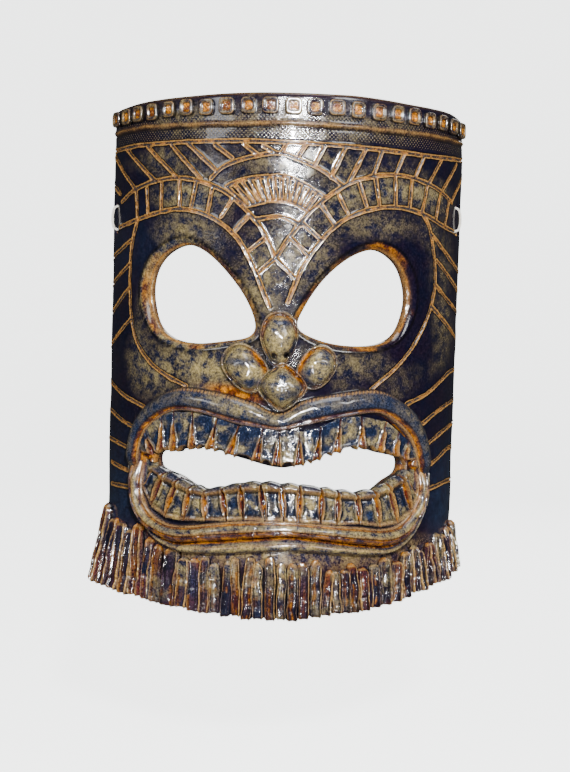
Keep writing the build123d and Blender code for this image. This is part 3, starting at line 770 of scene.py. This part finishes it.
def slab():
    """The bent slab: a carved face, a plain back, and walls through its thickness at the holes and edges."""
    s = np.linspace(-HALF_S, HALF_S, CELL_COLUMNS + 1)[None, :] + np.zeros((CELL_ROWS + 1, 1))
    share = np.linspace(0, 1, CELL_ROWS + 1)[:, None]
    h = foot_height(s) + share * (rim_height(s) - foot_height(s))
    circle = np.linspace(0, 2 * np.pi, 24)
    outlines = [curve(points, OUTLINE_POINTS, closed=True) for points in (LEFT_EYE, RIGHT_EYE, MOUTH)]
    disc = CORD_HOLE_R * np.stack([np.cos(circle), np.sin(circle)], -1)
    outlines += [disc + middle for middle in CORD_HOLES]
    # a cell goes if its four corners lie in a hole, and the corners left over move to the hole's edge
    slack = 0.25 * 2 * HALF_S / CELL_COLUMNS
    holes = [signed_distance(path, s, h, HOLE_REACH) for path in outlines]
    gone = np.minimum.reduce(holes) < slack
    kept = ~(gone[:-1, :-1] & gone[1:, :-1] & gone[:-1, 1:] & gone[1:, 1:])
    beside = np.zeros(s.shape, bool)
    for di in (0, 1):
        for dj in (0, 1):
            beside[di : di + CELL_ROWS, dj : dj + CELL_COLUMNS] |= kept
    for path, hole in zip(outlines, holes):
        to_edge = gone & beside & (hole < slack)
        s[to_edge], h[to_edge], _ = nearest(path, s[to_edge], h[to_edge])
    holes = [np.maximum(signed_distance(path, s, h, HOLE_REACH), 0) for path in outlines]
    bevels = [curve(points, OUTLINE_POINTS, closed=True) for points in (LEFT_BEVEL, RIGHT_BEVEL)]
    front, masks = carved_face(s, h, holes, [signed_distance(path, s, h, HOLE_REACH) for path in bevels])
    back = -WALL + 0.25 * lumps(s, h, 30, 8) + 0.2

    def blocks(values, size):
        """For each block of size x size cells, whether any of them is true."""
        return values.reshape(CELL_ROWS // size, size, CELL_COLUMNS // size, size).any(axis=(1, 3))

    def any_corner(values):
        """For each cell, whether any of its corners is true."""
        return values[:-1, :-1] | values[1:, :-1] | values[:-1, 1:] | values[1:, 1:]

    # fine cells where something is carved or bright in colour, and along the holes; the back is coarser
    marked = (np.maximum(masks["amber"], masks["tan"]) > 0.3) | (masks["line"] > 0.36)
    marked = marked & (masks["dark"] < 0.69)
    edge_cell = ~kept | any_corner(gone)
    front_faces = mixed_cells(kept, blocks(any_corner(marked) | edge_cell, 2), 2)
    back_faces = mixed_cells(kept, blocks(edge_cell, 4), 4)
    count = s.size
    a, b = open_edges(front_faces, count)
    rim = np.unique(a)
    first, second = np.searchsorted(rim, a), np.searchsorted(rim, b)
    flat_s, flat_h, flat_front, flat_back = s.ravel(), h.ravel(), front.ravel(), back.ravel()
    points = [at(flat_s, flat_h, flat_front), at(flat_s, flat_h, flat_back)]
    rows = [rim]
    # rings of points through the thickness join the front's open edges to the back's
    for layer in range(1, WALL_LAYERS):
        t = layer / WALL_LAYERS
        points.append(at(flat_s[rim], flat_h[rim], (1 - t) * flat_front[rim] + t * flat_back[rim]))
        rows.append(2 * count + (layer - 1) * len(rim) + np.arange(len(rim)))
    rows.append(rim + count)
    points = np.concatenate(points)
    faces = [*front_faces, *(each[:, ::-1] + count for each in back_faces)]
    for low, high in zip(rows, rows[1:]):
        faces.append(np.stack([low[second], low[first], high[first], high[second]], -1))
    # the thin glaze of the back comes some way round the edges
    inner = {"khaki": 0.35, "slate": 0.5, "amber": 0.2, "rust": 0.3}
    full = {}
    for name, values in spread(masks, s.shape).items():
        level = inner.get(name, 0.0)
        shares = [1 - layer / WALL_LAYERS for layer in range(1, WALL_LAYERS)]
        fading = [np.maximum(values[rim] * share, 0.7 * level) for share in shares]
        full[name] = np.concatenate([values, np.full(count, level), *fading])
    place = np.stack([flat_s, flat_h], -1)
    place = np.concatenate([place, place, *[place[rim]] * (WALL_LAYERS - 1)])
    used = np.unique(np.concatenate([each.ravel() for each in faces]))
    number = np.full(len(points), -1)
    number[used] = np.arange(len(used))
    body = (points[used], facing_out(points[used], [number[each] for each in faces]),
            {name: values[used] for name, values in full.items()}, place[used])
    make("slab_wall", body, SLAB_GLAZE)


slab()

# ---------------------------------------------------------------- the stamped pads under the rim

STAMPS = 21
STAMP_PITCH, STAMP_FIRST = 13.3, -134.0
STAMP_RINGS, STAMP_TURNS = 18, 48
STAMP_PROUD, WELL_PROUD = 2.4, 1.2
# how far the root of a piece that is pressed on lies below the slab's face
ROOT = 0.5


def rounded_square(turns, half_w, half_h, corner):
    """One turn round a superellipse: half_w and half_h times the signed power corner of cos and sin."""
    a = np.linspace(0, 2 * np.pi, turns, endpoint=False)
    return (half_w * np.sign(np.cos(a)) * np.abs(np.cos(a)) ** corner,
            half_h * np.sign(np.sin(a)) * np.abs(np.sin(a)) ** corner)


def stamp(number):
    """A pad about 10 x 11 mm: a rounded frame about a sunk square well, with beads in the well.

    r runs from 0 in the middle to 1 at the edge. The frame stands STAMP_PROUD - 2.6 ((r - 0.74) / 0.29)^4
    proud and the well WELL_PROUD, and a bead adds 0.7 cos(x) cos(y) where that is positive."""
    rng = np.random.default_rng(100 + number)
    middle = STAMP_FIRST + STAMP_PITCH * number + rng.uniform(-0.4, 0.4)
    height = 308.9 - 2.6 * (middle / 134) ** 2 + rng.uniform(-0.3, 0.3)
    half_w, half_h = 5.1 * rng.uniform(0.93, 1.06), 5.3 * rng.uniform(0.95, 1.04)
    edge_s, edge_h = rounded_square(STAMP_TURNS, half_w, half_h, 0.5)
    r = np.append(np.linspace(0.04, 1.0, STAMP_RINGS), [0.6])[:, None]
    s, h = middle + r * edge_s, height + r * edge_h
    rolled = STAMP_PROUD - 2.6 * np.abs((r - 0.74) / 0.29) ** 4
    x, y = r * edge_s / 0.9, r * edge_h / 0.9
    beads = 0.7 * np.clip(np.cos(x * 2.6) * np.cos(y * 2.6), 0, 1) * (r < 0.42)
    proud = np.where(r < 0.46, WELL_PROUD + beads, np.clip(rolled, -0.4, STAMP_PROUD))
    proud = proud + 0.12 * lumps(s, h, 3, 20)
    proud[-2:] = -ROOT
    tan = np.maximum(0.6 * bell(r - 0.86, 0.05), 0.9 * bell(r - 0.57, 0.04))
    tan = tan * (0.6 + 0.6 * lumps(s, h, 3, 21))
    amber = smooth(0.5 - r, 0, 0.08) + 0.3 * beads
    # painted shade at the step down into the well and round the pad's foot
    dark = np.maximum(bell(r - 0.49, 0.05), smooth(r, 0.9, 0.96))
    return rings(s, h, proud, tan=tan, amber=amber, dark=dark, khaki=0.35)


make("rim_stamps", joined([stamp(number) for number in range(STAMPS)]), STAMP_GLAZE)

# ---------------------------------------------------------------- the nose: four lumps pressed on


def lump(name, place, half_w, half_h, height, corner, fold_towards, tilt=0.0, taper=0.0, pits=()):
    """A lump of clay: superellipse rings of radius r, turned by tilt and drawn in by taper towards the foot.

    The dome is (1 - (r/0.86)^2.8)^0.55 of its height proud, inside a rolled rim 0.42 as proud at r = 0.92.
    The groove between them is deepest, and amber, at the angle fold_towards, and a pit is
    2.6 exp(-(d/1.6)^2) deep."""
    across, upwards = rounded_square(80, half_w, half_h, corner)
    across = across * (1 - taper * smooth(-upwards / half_h, -0.3, 1.0))
    edge_s = across * math.cos(tilt) - upwards * math.sin(tilt)
    edge_h = across * math.sin(tilt) + upwards * math.cos(tilt)
    inner = np.sin(np.linspace(0.03, np.pi / 2, 20)) * 0.78
    r = np.concatenate([inner, np.linspace(0.8, 1, 14), [0.5]])[:, None]
    s, h = place[0] + r * edge_s, place[1] + r * edge_h
    dome = height * (1 - np.minimum(r / 0.86, 1) ** 2.8) ** 0.55
    rim = 0.42 * height * bell(r - 0.92, 0.1) * (1 + 0.25 * lumps(s, h, 8, 33))
    proud = np.maximum(dome, rim) + 0.6 * lumps(s, h, 7, 30) + 0.25 * lumps(s, h, 2.6, 31)
    around = np.arctan2(h - place[1], s - place[0])
    fold = bell(np.angle(np.exp(1j * (around - fold_towards))), 1.0)
    proud = proud - 0.9 * fold * bell(r - 0.8, 0.06)
    amber = np.maximum(bell(r - 0.84, 0.05), 1.2 * fold * bell(r - 0.8, 0.09))
    amber = amber * (0.1 + 0.9 * fold + 0.5 * lumps(s, h, 7, 34))
    # painted shade round the lump's foot and in the groove inside its rim
    dark = np.maximum(0.6 * smooth(r, 0.97, 1.0), 0.6 * bell(r - 0.85, 0.025))
    tan = (0.25 + 0.6 * fold) * bell(r - 0.93, 0.04) * (0.6 + 0.6 * lumps(s, h, 9, 35))
    for pit in pits:
        d = np.hypot(s - pit[0], h - pit[1])
        proud = proud - 2.6 * bell(d, 1.6)
        # painted shade in the pit
        dark = np.maximum(dark, smooth(d, 2.6, 1.2))
    proud[-2:] = -ROOT
    khaki = np.clip(0.9 + 0.9 * lumps(s, h, 6, 32), 0, 1) * (1 - 0.5 * smooth(r, 0.82, 0.9))
    body = rings(s, h, proud, tan=tan, amber=amber, dark=dark, khaki=khaki, slate=0.35)
    make(name, body, NOSE_GLAZE)


lump("nose_bridge", (-5.5, 170.5), 11.8, 17.5, 13.5, 0.85, 2.4, taper=0.32, pits=((-8, 161), (-1, 161.5)))
lump("nostril_left", (-25, 153), 12.2, 16.5, 11, 0.85, 0.5, tilt=0.75)
lump("nostril_right", (17, 154.5), 11, 14.5, 11, 0.9, 2.6, tilt=-0.6)
lump("nose_tip", (-3, 142.5), 15.5, 15.5, 16, 1.5, 0.6)

# ---------------------------------------------------------------- the lips

LIP_TOP = ((-111, 90), (-106, 111), (-95, 126), (-80, 135), (-64, 140), (-40, 138), (-20, 133), (-4, 127),
           (10, 135), (25, 138.5), (45, 141.5), (60, 141), (75, 134.5), (88, 126), (99, 110), (103.5, 90))
LIP_INSIDE = ((-98, 90), (-93, 108), (-82, 118), (-68, 124.5), (-50, 123.5), (-30, 118.5), (-10, 116),
              (0, 116), (10, 118.5), (30, 123), (55, 126.5), (70, 119.5), (82, 108), (90, 90))
LIP_FOOT = ((-111, 90), (-105, 65), (-92, 50), (-76, 41.5), (-60, 38.5), (-40, 39.5), (0, 43), (30, 41.5),
            (60, 39.5), (78, 43), (92, 53.5), (102, 70), (103.5, 90))
LIP_GROOVE = ((-109.5, 90), (-107, 70), (-99.5, 57.5), (-90, 50.5), (-70, 44), (-50, 46), (-10, 51),
              (10, 51.5), (50, 46), (66, 44.5), (80, 47.5), (91, 56.5), (99.5, 70), (102, 90))
COIL_INSIDE = ((-94, 90), (-93, 73), (-86, 62), (-72, 56), (-56, 56.5), (-30, 61), (0, 62), (40, 59),
               (64, 56.5), (77, 60.5), (88, 73), (90, 90))
LIP_BEADS = 120


def ribbon(outer, inner, columns, rows):
    """A grid from the outer line, w = 0, to the inner one, w = 1; t runs from 0 to 1 along them. Gives s, h,
    w, t and the distance in t from halfway along."""
    w, t = np.linspace(0, 1, rows)[:, None], np.linspace(0, 1, columns)[None, :]
    a, b = curve(outer, columns), curve(inner, columns)
    s, h = (a[:, k] * (1 - w) + b[:, k] * w for k in (0, 1))
    return s, h, w, t, np.abs(t - 0.5)


def press_lip(name, s, h, proud, **masks):
    """Makes a lip of clay pressed to the slab's face."""
    make(name, sheet(s, h, np.maximum(proud, -0.2), -0.6, **masks), LIP_GLAZE)


def upper_lip():
    """A broad smooth roll, 7.2 sin(pi w)^0.55 proud but for its very ends, with a row of beads along its
    upper edge and a thin coil along its inside. It turns down past both corners of the mouth."""
    outside = ((-111, 84), *LIP_TOP, (103.5, 84))
    inside = ((-98.5, 84), *LIP_INSIDE, (90.5, 84))
    s, h, w, t, off = ribbon(outside, inside, 320, 34)
    roll = np.sin(np.pi * np.clip(w, 0, 1)) ** 0.55
    last = smooth(0.5 - off, 0, 0.045)
    proud = (1.5 + 5.7 * last) * roll + 0.4 * lumps(s, h, 12, 40) + 0.15 * lumps(s, h, 4, 41)
    proud = proud - 1.7 * bell(w - 0.8, 0.045) + 0.7 * bell(w - 0.92, 0.05)
    beads = bell(w - 0.1, 0.045) * (0.5 + 0.5 * np.cos(2 * np.pi * LIP_BEADS * t)) * smooth(off, 0.3, 0.2)
    proud = proud + 0.45 * beads
    ends = smooth(off, 0.15, 0.42)
    amber = np.maximum(bell(w - 0.8, 0.05) * (0.35 + 0.65 * ends), smooth(w, 0.97, 1.0))
    tan = np.maximum(0.85 * bell(w - 0.91, 0.04) * (0.35 + 0.65 * ends) * last, beads)
    # painted shade along the lip's foot and above the groove near its inside
    dark = np.maximum(bell(w - 0.02, 0.03), 0.7 * bell(w - 0.72, 0.03))
    khaki = bell(w - 0.35, 0.3) * (0.7 - 0.35 * smooth(s, -15, 30)) * (0.8 + 0.6 * lumps(s, h, 22, 42))
    slate = 0.9 * bell(w - 0.55, 0.25)
    press_lip("upper_lip", s, h, proud, tan=tan, amber=amber, dark=dark, khaki=khaki, slate=slate)


def lower_lip():
    """The outer roll of the lower lip, 6.8 sin(pi w^0.85)^0.55 proud and less where it thins out to its
    ends: grey and olive, amber towards the groove."""
    s, h, w, _, off = ribbon(LIP_FOOT, LIP_GROOVE, 300, 18)
    width = np.hypot(s[-1] - s[0], h[-1] - h[0])
    full = 6.8 * np.clip(width / 5.5, 0.1, 1) * smooth(off, 0.5, 0.488)
    proud = full * np.sin(np.pi * w**0.85) ** 0.55 + 0.35 * lumps(s, h, 10, 43) + 0.12 * lumps(s, h, 3, 44)
    amber = smooth(w, 0.8, 0.95)
    corners = smooth(off, 0.2, 0.4)
    khaki = np.clip(1.1 * bell(w - 0.42, 0.35) * (1 - 0.4 * corners) + 0.25 * lumps(s, h, 12, 45), 0, 1)
    # painted shade along the lip's foot
    dark = bell(w - 0.03, 0.06)
    tan = 0.35 * bell(w - 0.55, 0.12) * (1 - corners)
    press_lip("lower_lip", s, h, proud, tan=tan, amber=amber, dark=dark, khaki=khaki, slate=0.6)


def lower_lip_coil():
    """Three coils side by side, 8 sin(pi w)^0.45 proud and lower at the ends, with creases 1.8 deep at
    w = 0.36 and 0.8. A few joins show where one length of coil ends on the next."""
    outside = ((-110, 97), *LIP_GROOVE, (102.3, 97))
    inside = ((-95, 97), *COIL_INSIDE, (90, 97))
    s, h, w, t, off = ribbon(outside, inside, 320, 30)
    ending = smooth(off, 0.3, 0.5)
    proud = (8.0 - 1.4 * ending) * np.sin(np.pi * w) ** (0.45 + 0.45 * ending)
    last = smooth(0.5 - off, 0, 0.07)
    proud = proud * (0.1 + 0.9 * last) + 0.3 * lumps(s, h, 9, 46)
    first = 0.36 + 0.14 * smooth(off, 0.25, 0.5)
    crease = np.maximum(bell(w - first, 0.045), bell(w - 0.8, 0.04))
    joins = np.maximum.reduce([bell(t - at_t, 0.004) for at_t in (0.33, 0.455, 0.63, 0.86)])
    joins = joins * bell(w - 0.35, 0.3)
    proud = proud - 1.8 * crease - 0.9 * joins
    amber = np.maximum(bell((w - 0.45 * first) / first, 0.3), 0.7 * crease)
    amber = amber * (0.8 + 0.3 * lumps(s, h, 8, 47))
    tan = np.maximum(0.7 * bell(w - first - 0.12, 0.06), 0.9 * bell(w - 0.9, 0.05))
    tan = tan * (0.75 + 0.35 * lumps(s, h, 6, 48)) * last
    amber = np.maximum(amber, 0.6 * (1 - last))
    # painted shade in the creases and at the joins
    dark = np.maximum(0.8 * crease, 0.5 * joins)
    khaki = bell(w - 0.62, 0.2) * (1.0 + 0.5 * lumps(s, h, 11, 49))
    press_lip("lower_lip_coil", s, h, proud, tan=tan, amber=amber, dark=dark, khaki=khaki, slate=0.4)


upper_lip()
lower_lip()
lower_lip_coil()

# ---------------------------------------------------------------- the teeth

# s and height at the apex and at the foot of each tent-shaped fold between the upper teeth
UPPER_FOLDS = ((-97, 98, -86, 91), (-91, 108, -84, 97), (-79, 118, -78, 101), (-70, 119, -69, 100),
               (-57, 120, -56, 103), (-42, 118, -45, 103), (-29, 114, -33, 100), (-14, 114, -17, 97),
               (-4, 112, -5, 94.5), (8, 111, 8, 95), (20, 114, 18, 98), (32, 120, 30, 103),
               (46, 121, 46, 106), (62, 118, 58, 104), (72, 112, 69, 101),
               (80, 107, 77, 99.5), (88, 98, 80, 94), (91, 91, 79, 89.5))
# s and height at the top and at the root of each cleft between the lower teeth
LOWER_CLEFTS = ((-86, 90, -93, 78), (-76, 86.5, -85, 66), (-66, 83.5, -74, 61), (-57, 80, -61, 60),
                (-48, 78, -47, 61), (-37, 80.5, -34, 62), (-26, 83, -24, 63), (-14, 84, -11, 63),
                (-2, 83.5, 0, 63), (9, 83, 9, 63), (22, 81.5, 22, 62), (32, 80, 32, 61), (44, 78, 46, 61),
                (56, 79.5, 60, 59), (65, 83.5, 73, 60), (75, 88, 84, 66), (80, 92, 89, 77))
# a tooth stops this far from the middle of the fold beside it
HALF_GAP = 0.22
TOOTH_BACK = 3.2


def tooth(left, right, root_past, half_width, rolled, seed):
    """A block of clay between two folds, each given by its place at the root and at the tip.

    v runs from root to tip, and gap is the distance from the nearer fold's middle. Within half_width(v) of
    it the clay is 0.8 proud, and 0.9 more in its very middle. Then comes a lip, a ridge
    1.7 exp(-((gap - half_width - 0.2)/0.6)^2), and between the ridges the block is 3.4 proud. A rolled
    tooth turns over in a cap at its tip. The root goes on past the fold's, by root_past of the fold's
    length."""
    v, u = np.linspace(0, 1, 30)[:, None], np.linspace(0, 1, 26)[None, :]
    stretch = v * (1 + root_past) - root_past
    (left_s, left_h), (right_s, right_h) = (
        (side[0] + stretch * (side[2] - side[0]), side[1] + stretch * (side[3] - side[1]))
        for side in (left, right)
    )
    width = right_s - left_s
    u = u * (1 - 2 * HALF_GAP / width) + HALF_GAP / width
    s = left_s + u * width
    h = left_h + u * (right_h - left_h)
    gap = np.minimum(u * width, (1 - u) * width)
    half = half_width(np.clip(stretch, 0, 1))
    inside = smooth(gap - half, -0.6, 0.5)
    ridge = bell(gap - half - 0.2, 0.6) * smooth(half, 0.1, 0.8)
    proud = 0.8 + 2.6 * inside + 1.7 * ridge
    proud = proud + 0.35 * lumps(s, h, 4, seed) + 0.15 * lumps(s, h, 1.8, seed + 1)
    proud = proud + 0.9 * (1 - inside) * bell(gap, 0.6)
    tan = 1.1 * smooth(ridge, 0.4, 1.0) * (0.7 + 0.5 * lumps(s, h, 5, seed + 2))
    rust = 1 - inside
    amber = 0.6 * rust * (lumps(s, h, 3.5, seed + 3) > 0.1)
    # painted shade in the gap between teeth and beside each ridge
    dark = np.maximum(0.85 * bell(gap - half - 1.7, 0.5), bell(gap, 0.6)) * smooth(half, 0.1, 0.8)
    khaki = np.clip((0.55 if rolled else 0.25) + 0.9 * lumps(s, h, 5, seed + 4), 0, 1) * inside
    tip = smooth(v, 0.8, 1.0)
    if rolled:
        cap = bell(v - 0.9, 0.075) * inside
        proud = proud + 1.9 * cap - 1.0 * bell(v - 0.77, 0.035) * inside - 2.4 * smooth(v, 0.95, 1.0)
        # painted shade under the rolled cap
        dark = np.maximum(dark, bell(v - 0.77, 0.04) * inside)
        tan = np.maximum(tan, 0.55 * bell(v - 0.86, 0.05) * inside)
        scallop = bell(v - 0.07, 0.05) * inside
        proud = proud + 0.8 * scallop
        tan = np.maximum(tan, 0.5 * scallop)
        # painted shade under the scallop
        dark = np.maximum(dark, 0.8 * bell(v - 0.15, 0.03) * inside)
        h = h + 1.0 * tip * np.sin(np.pi * u) * (1 + 0.4 * lumps(s, 0.0, 4, seed + 5))
    else:
        h = h + tip * (2.0 * smooth(gap - half, 0.8, 3.0) - 0.7 * ridge)
        proud = proud + 0.9 * bell(v - 0.9, 0.1) - 1.6 * smooth(v, 0.93, 1.0)
        tan = np.maximum(tan, 0.5 * smooth(v, 0.9, 0.97))
    return sheet(s, h, proud, -TOOTH_BACK, tan=tan, amber=amber, dark=dark, khaki=khaki,
                 slate=0.7 * inside, rust=rust)


def tent(v):
    """Half the width of a fold that opens evenly from its apex to its foot, in mm."""
    return 0.25 + 2.1 * v


def lens(v):
    """Half the width of a cleft that is widest halfway up, in mm."""
    return 1.55 * np.sin(np.pi * np.clip(v * 0.95 + 0.04, 0, 1)) ** 0.8


def row_of_teeth(name, sides, root_past, half_width, rolled, seed):
    """Makes a row of teeth, one between each side, from root to tip, and the next."""
    pairs = enumerate(zip(sides, sides[1:]))
    teeth = [tooth(*pair, root_past, half_width, rolled, seed + 7 * number) for number, pair in pairs]
    make(name, joined(teeth), TEETH_GLAZE)


row_of_teeth("upper_teeth", UPPER_FOLDS, 0.28, tent, False, 60)
row_of_teeth("lower_teeth", [(*cleft[2:], *cleft[:2]) for cleft in LOWER_CLEFTS], 0.1, lens, True, 200)

# ---------------------------------------------------------------- the fringe of folded clay strands

# s of the line between each strand and the next, then tops, feet and how far the feet lean out, against s
STRAND_EDGES = (-139.4, -131, -122, -110, -101, -92, -85, -78, -66, -57, -50, -43, -36, -30, -24, -17,
                -10, -3, 3, 10, 17, 24, 30, 36, 42, 48, 55, 62, 70, 78, 86, 94, 100, 106, 112, 120,
                128, 134, 139.4)
STRAND_TOPS = ((-140, 58), (-118, 51), (-97, 50), (-88, 45), (-80, 41), (-66, 36), (-48, 34), (-20, 38),
               (15, 37), (25, 34), (52, 33), (70, 35), (88, 40), (112, 43), (140, 54))
STRAND_FEET = ((-140, 9), (-108, 7), (-82, 4.5), (-47, 2), (0, 0), (47, 5), (75, 9), (100, 14),
               (124, 17), (140, 22))
STRAND_LEAN = ((-140, 8.5), (-112, 4), (-80, 0.5), (80, 0.5), (112, 2), (140, 3.5))
STRAND_MAX_S = 139.3
STRAND_OVERLAP = 0.35
# the lowest part of a strand, this tall, hangs clear of the slab
STRAND_FREE = 22


def strand(number, left, right):
    """A strip of clay folded like a hairpin: a sharp ridge up each side, in an arch over a flat panel.

    u runs across it and v down it. Its bulk is 2.9 mm at the top and 6.3 mm at the foot, plus the lean. The
    front stands (1 - |2u - 1|^3.4)^0.5 of about half the bulk proud, and the ridges, 0.15 of the width in
    from both sides, 0.6 of it more. Each strand sways, folds and is dented in its own way."""
    rng = np.random.default_rng(500 + number)
    middle = (left + right) / 2
    tables = (STRAND_TOPS, STRAND_FEET, STRAND_LEAN)
    top, foot, lean = (np.interp(middle, *np.transpose(table)) for table in tables)
    top = top + rng.uniform(-2.5, 3.5)
    foot = foot + rng.uniform(0.1, 1.8)
    v, u = np.linspace(0, 1, 52)[:, None], np.linspace(0, 1, 36)[None, :]
    arch = (1 - (1 - np.clip(v / 0.16, 0.06, 1)) ** 2.4) ** 0.5
    tip = (1 - 0.45 * np.clip((v - 0.95) / 0.05, 0, 1) ** 2) ** 0.5
    sway = rng.uniform(-2.0, 2.0) * (1 - v) ** 1.5 + 0.5 * lumps(v * 40, 0.0, 9, 300 + number)
    half = (right - left) / 2 + STRAND_OVERLAP
    s = np.clip(middle + sway + (2 * u - 1) * half * arch * tip, -STRAND_MAX_S, STRAND_MAX_S)
    aside = np.abs(2 * u - 1)
    h = top - v * (top - foot) + 0.5 * (1 - tip) * aside + 0.35 * v * lumps(s, 0.0, 3, 310)
    wander = 0.05 * lumps(v * 40, 0.0, 8, 340 + number)
    strong = rng.uniform(0.55, 1.0, 2)
    ridges = [strong[0] * bell(u - 0.15 - wander, 0.06), strong[1] * bell(u - 0.85 - wander, 0.06)]
    ridge = np.maximum(*ridges) * smooth(v, 0.0, 0.04)
    fold = rng.uniform(0, 1) * bell(u - rng.uniform(0.4, 0.6) - 2 * wander, 0.1) * smooth(v, 0.12, 0.25)
    across = np.maximum(1 - aside**3.4, 0) ** 0.5
    level = rng.uniform(-0.12, 0.16)
    dent = bell(v - rng.uniform(0.35, 0.85), 0.04) * rng.uniform(0, 1)
    bulk = 2.9 + 3.4 * v**0.6
    relief = across * (0.5 + level - 0.35 * fold - 0.2 * dent) + 0.6 * ridge
    front = lean * v**1.5 + bulk * relief * (0.5 + 0.5 * arch) * tip + 0.3 * lumps(s, h, 3, 380 + number)
    free = foot + STRAND_FREE - h
    back = np.where(free < 0, -0.4, lean * np.clip(free / STRAND_FREE, 0, 1) ** 1.3 - 0.3)
    side = smooth(aside, 0.84, 0.97)
    panel = 1 - side
    tan = smooth(ridge, 0.5, 0.95) * (0.7 + 0.7 * lumps(s, h, 7, 420 + number))
    tan = tan + 0.25 * smooth(v, 0.97, 1.0) * panel
    tan = np.maximum(tan, 0.5 * bell(v / 0.16 - 0.3, 0.12) * panel)
    amber = 0.55 * np.clip(fold + bell(v, 0.08) + 0.4 * bell(u - 0.22, 0.06), 0, 1)
    amber = amber * (lumps(s, h, 6, 460 + number) > 0)
    # painted shade at the strand's sides, in its fold and inside its ridges
    dark = np.maximum(0.55 * fold, 0.95 * side)
    dark = np.maximum(dark, 0.8 * bell(np.abs(u - 0.5) - 0.25, 0.05) * smooth(v, 0.1, 0.2))
    tint = rng.uniform(0, 1, 3)
    khaki = 0.7 * tint[0] - 0.3 * smooth(middle, -50, -100) + 0.6 * lumps(s, h, 10, 4) - 0.2 * v
    khaki = np.clip(khaki, 0, 1) * panel
    rust = np.clip(0.8 * tint[1] - 0.5 + 0.6 * lumps(s, h, 8, 5), 0, 1) * panel
    body = sheet(s, h, np.maximum(front, back + 0.4), back, tan=tan, amber=amber, dark=dark, khaki=khaki,
                 slate=0.7 * tint[2], rust=rust)
    make(f"fringe_strand_{number:02d}", body, FRINGE_GLAZE)


for number, (left, right) in enumerate(zip(STRAND_EDGES, STRAND_EDGES[1:]), start=1):
    strand(number, left, right)

# ---------------------------------------------------------------- floor, light and the closing lines


WHITE_PAPER = linear("f4f6f5")


def stage():
    """A seamless pale sweep under and far behind the mask, and lamps: two small near ones, which give the
    glaze its sharp glints, and four broad soft ones. The sweep's profile is flat, then a quarter circle of
    radius bend, then upright. It glows for the camera and throws no light on the mask."""
    low, far, bend = cad_box[0][2] - 0.16, 1.6, 1.0
    angle = np.linspace(0, np.pi / 2, 24)
    y = np.concatenate([[-4], far + bend * np.sin(angle), [far + bend]])
    z = np.concatenate([[low], low + bend * (1 - np.cos(angle)), [low + 4]])
    x = np.array([[-5.0], [5.0]])
    points = np.stack(np.broadcast_arrays(x, y[None], z[None]), -1).reshape(-1, 3)
    # matt white paper, lit from within so that it comes out evenly pale
    material, tree = new_material("white_paper_sweep")
    paper = node(
        tree, "ShaderNodeBsdfPrincipled",
        {"Base Color": WHITE_PAPER, "Roughness": 0.9,
         "Emission Color": WHITE_PAPER, "Emission Strength": 3.6},
    )
    node(tree, "ShaderNodeOutputMaterial", {"Surface": paper.outputs[0]})
    floor = linked("floor", smooth_mesh("floor", points, grid_faces(2, len(y)), material))
    floor.visible_glossy = floor.visible_diffuse = False
    world = bpy.data.worlds.new("studio")
    bpy.context.scene.world = world
    world.use_nodes = True
    tree = world.node_tree
    tree.nodes.clear()
    seen = node(tree, "ShaderNodeLightPath").outputs["Is Camera Ray"]
    level = node(tree, "ShaderNodeMapRange", {0: seen, 3: 0.06, 4: 4.2}).outputs[0]
    sky = node(tree, "ShaderNodeBackground", {"Color": WHITE_PAPER, "Strength": level})
    node(tree, "ShaderNodeOutputWorld", {"Surface": sky.outputs[0]})
    middle = Vector((0, -0.05, -0.13))
    for name, place, size, power in (
        ("flash", (0.04, -0.87, 0.14), 0.07, 15),
        ("low_flash", (0.02, -0.9, -0.27), 0.06, 4),
        ("soft_right", (0.75, -1.1, 0.55), 0.4, 5),
        ("soft_left", (-0.95, -1.0, 0.35), 0.4, 2.5),
        ("top", (0.1, -0.45, 0.9), 0.5, 3),
        ("behind", (0.4, 1.2, 0.5), 0.9, 6),
    ):
        data = bpy.data.lights.new(name, "AREA")
        data.shape, data.size = "DISK", size
        data.energy = power
        lamp = linked(name, data)
        lamp.location = place
        lamp.rotation_euler = (middle - Vector(place)).to_track_quat("-Z", "Y").to_euler()


stage()
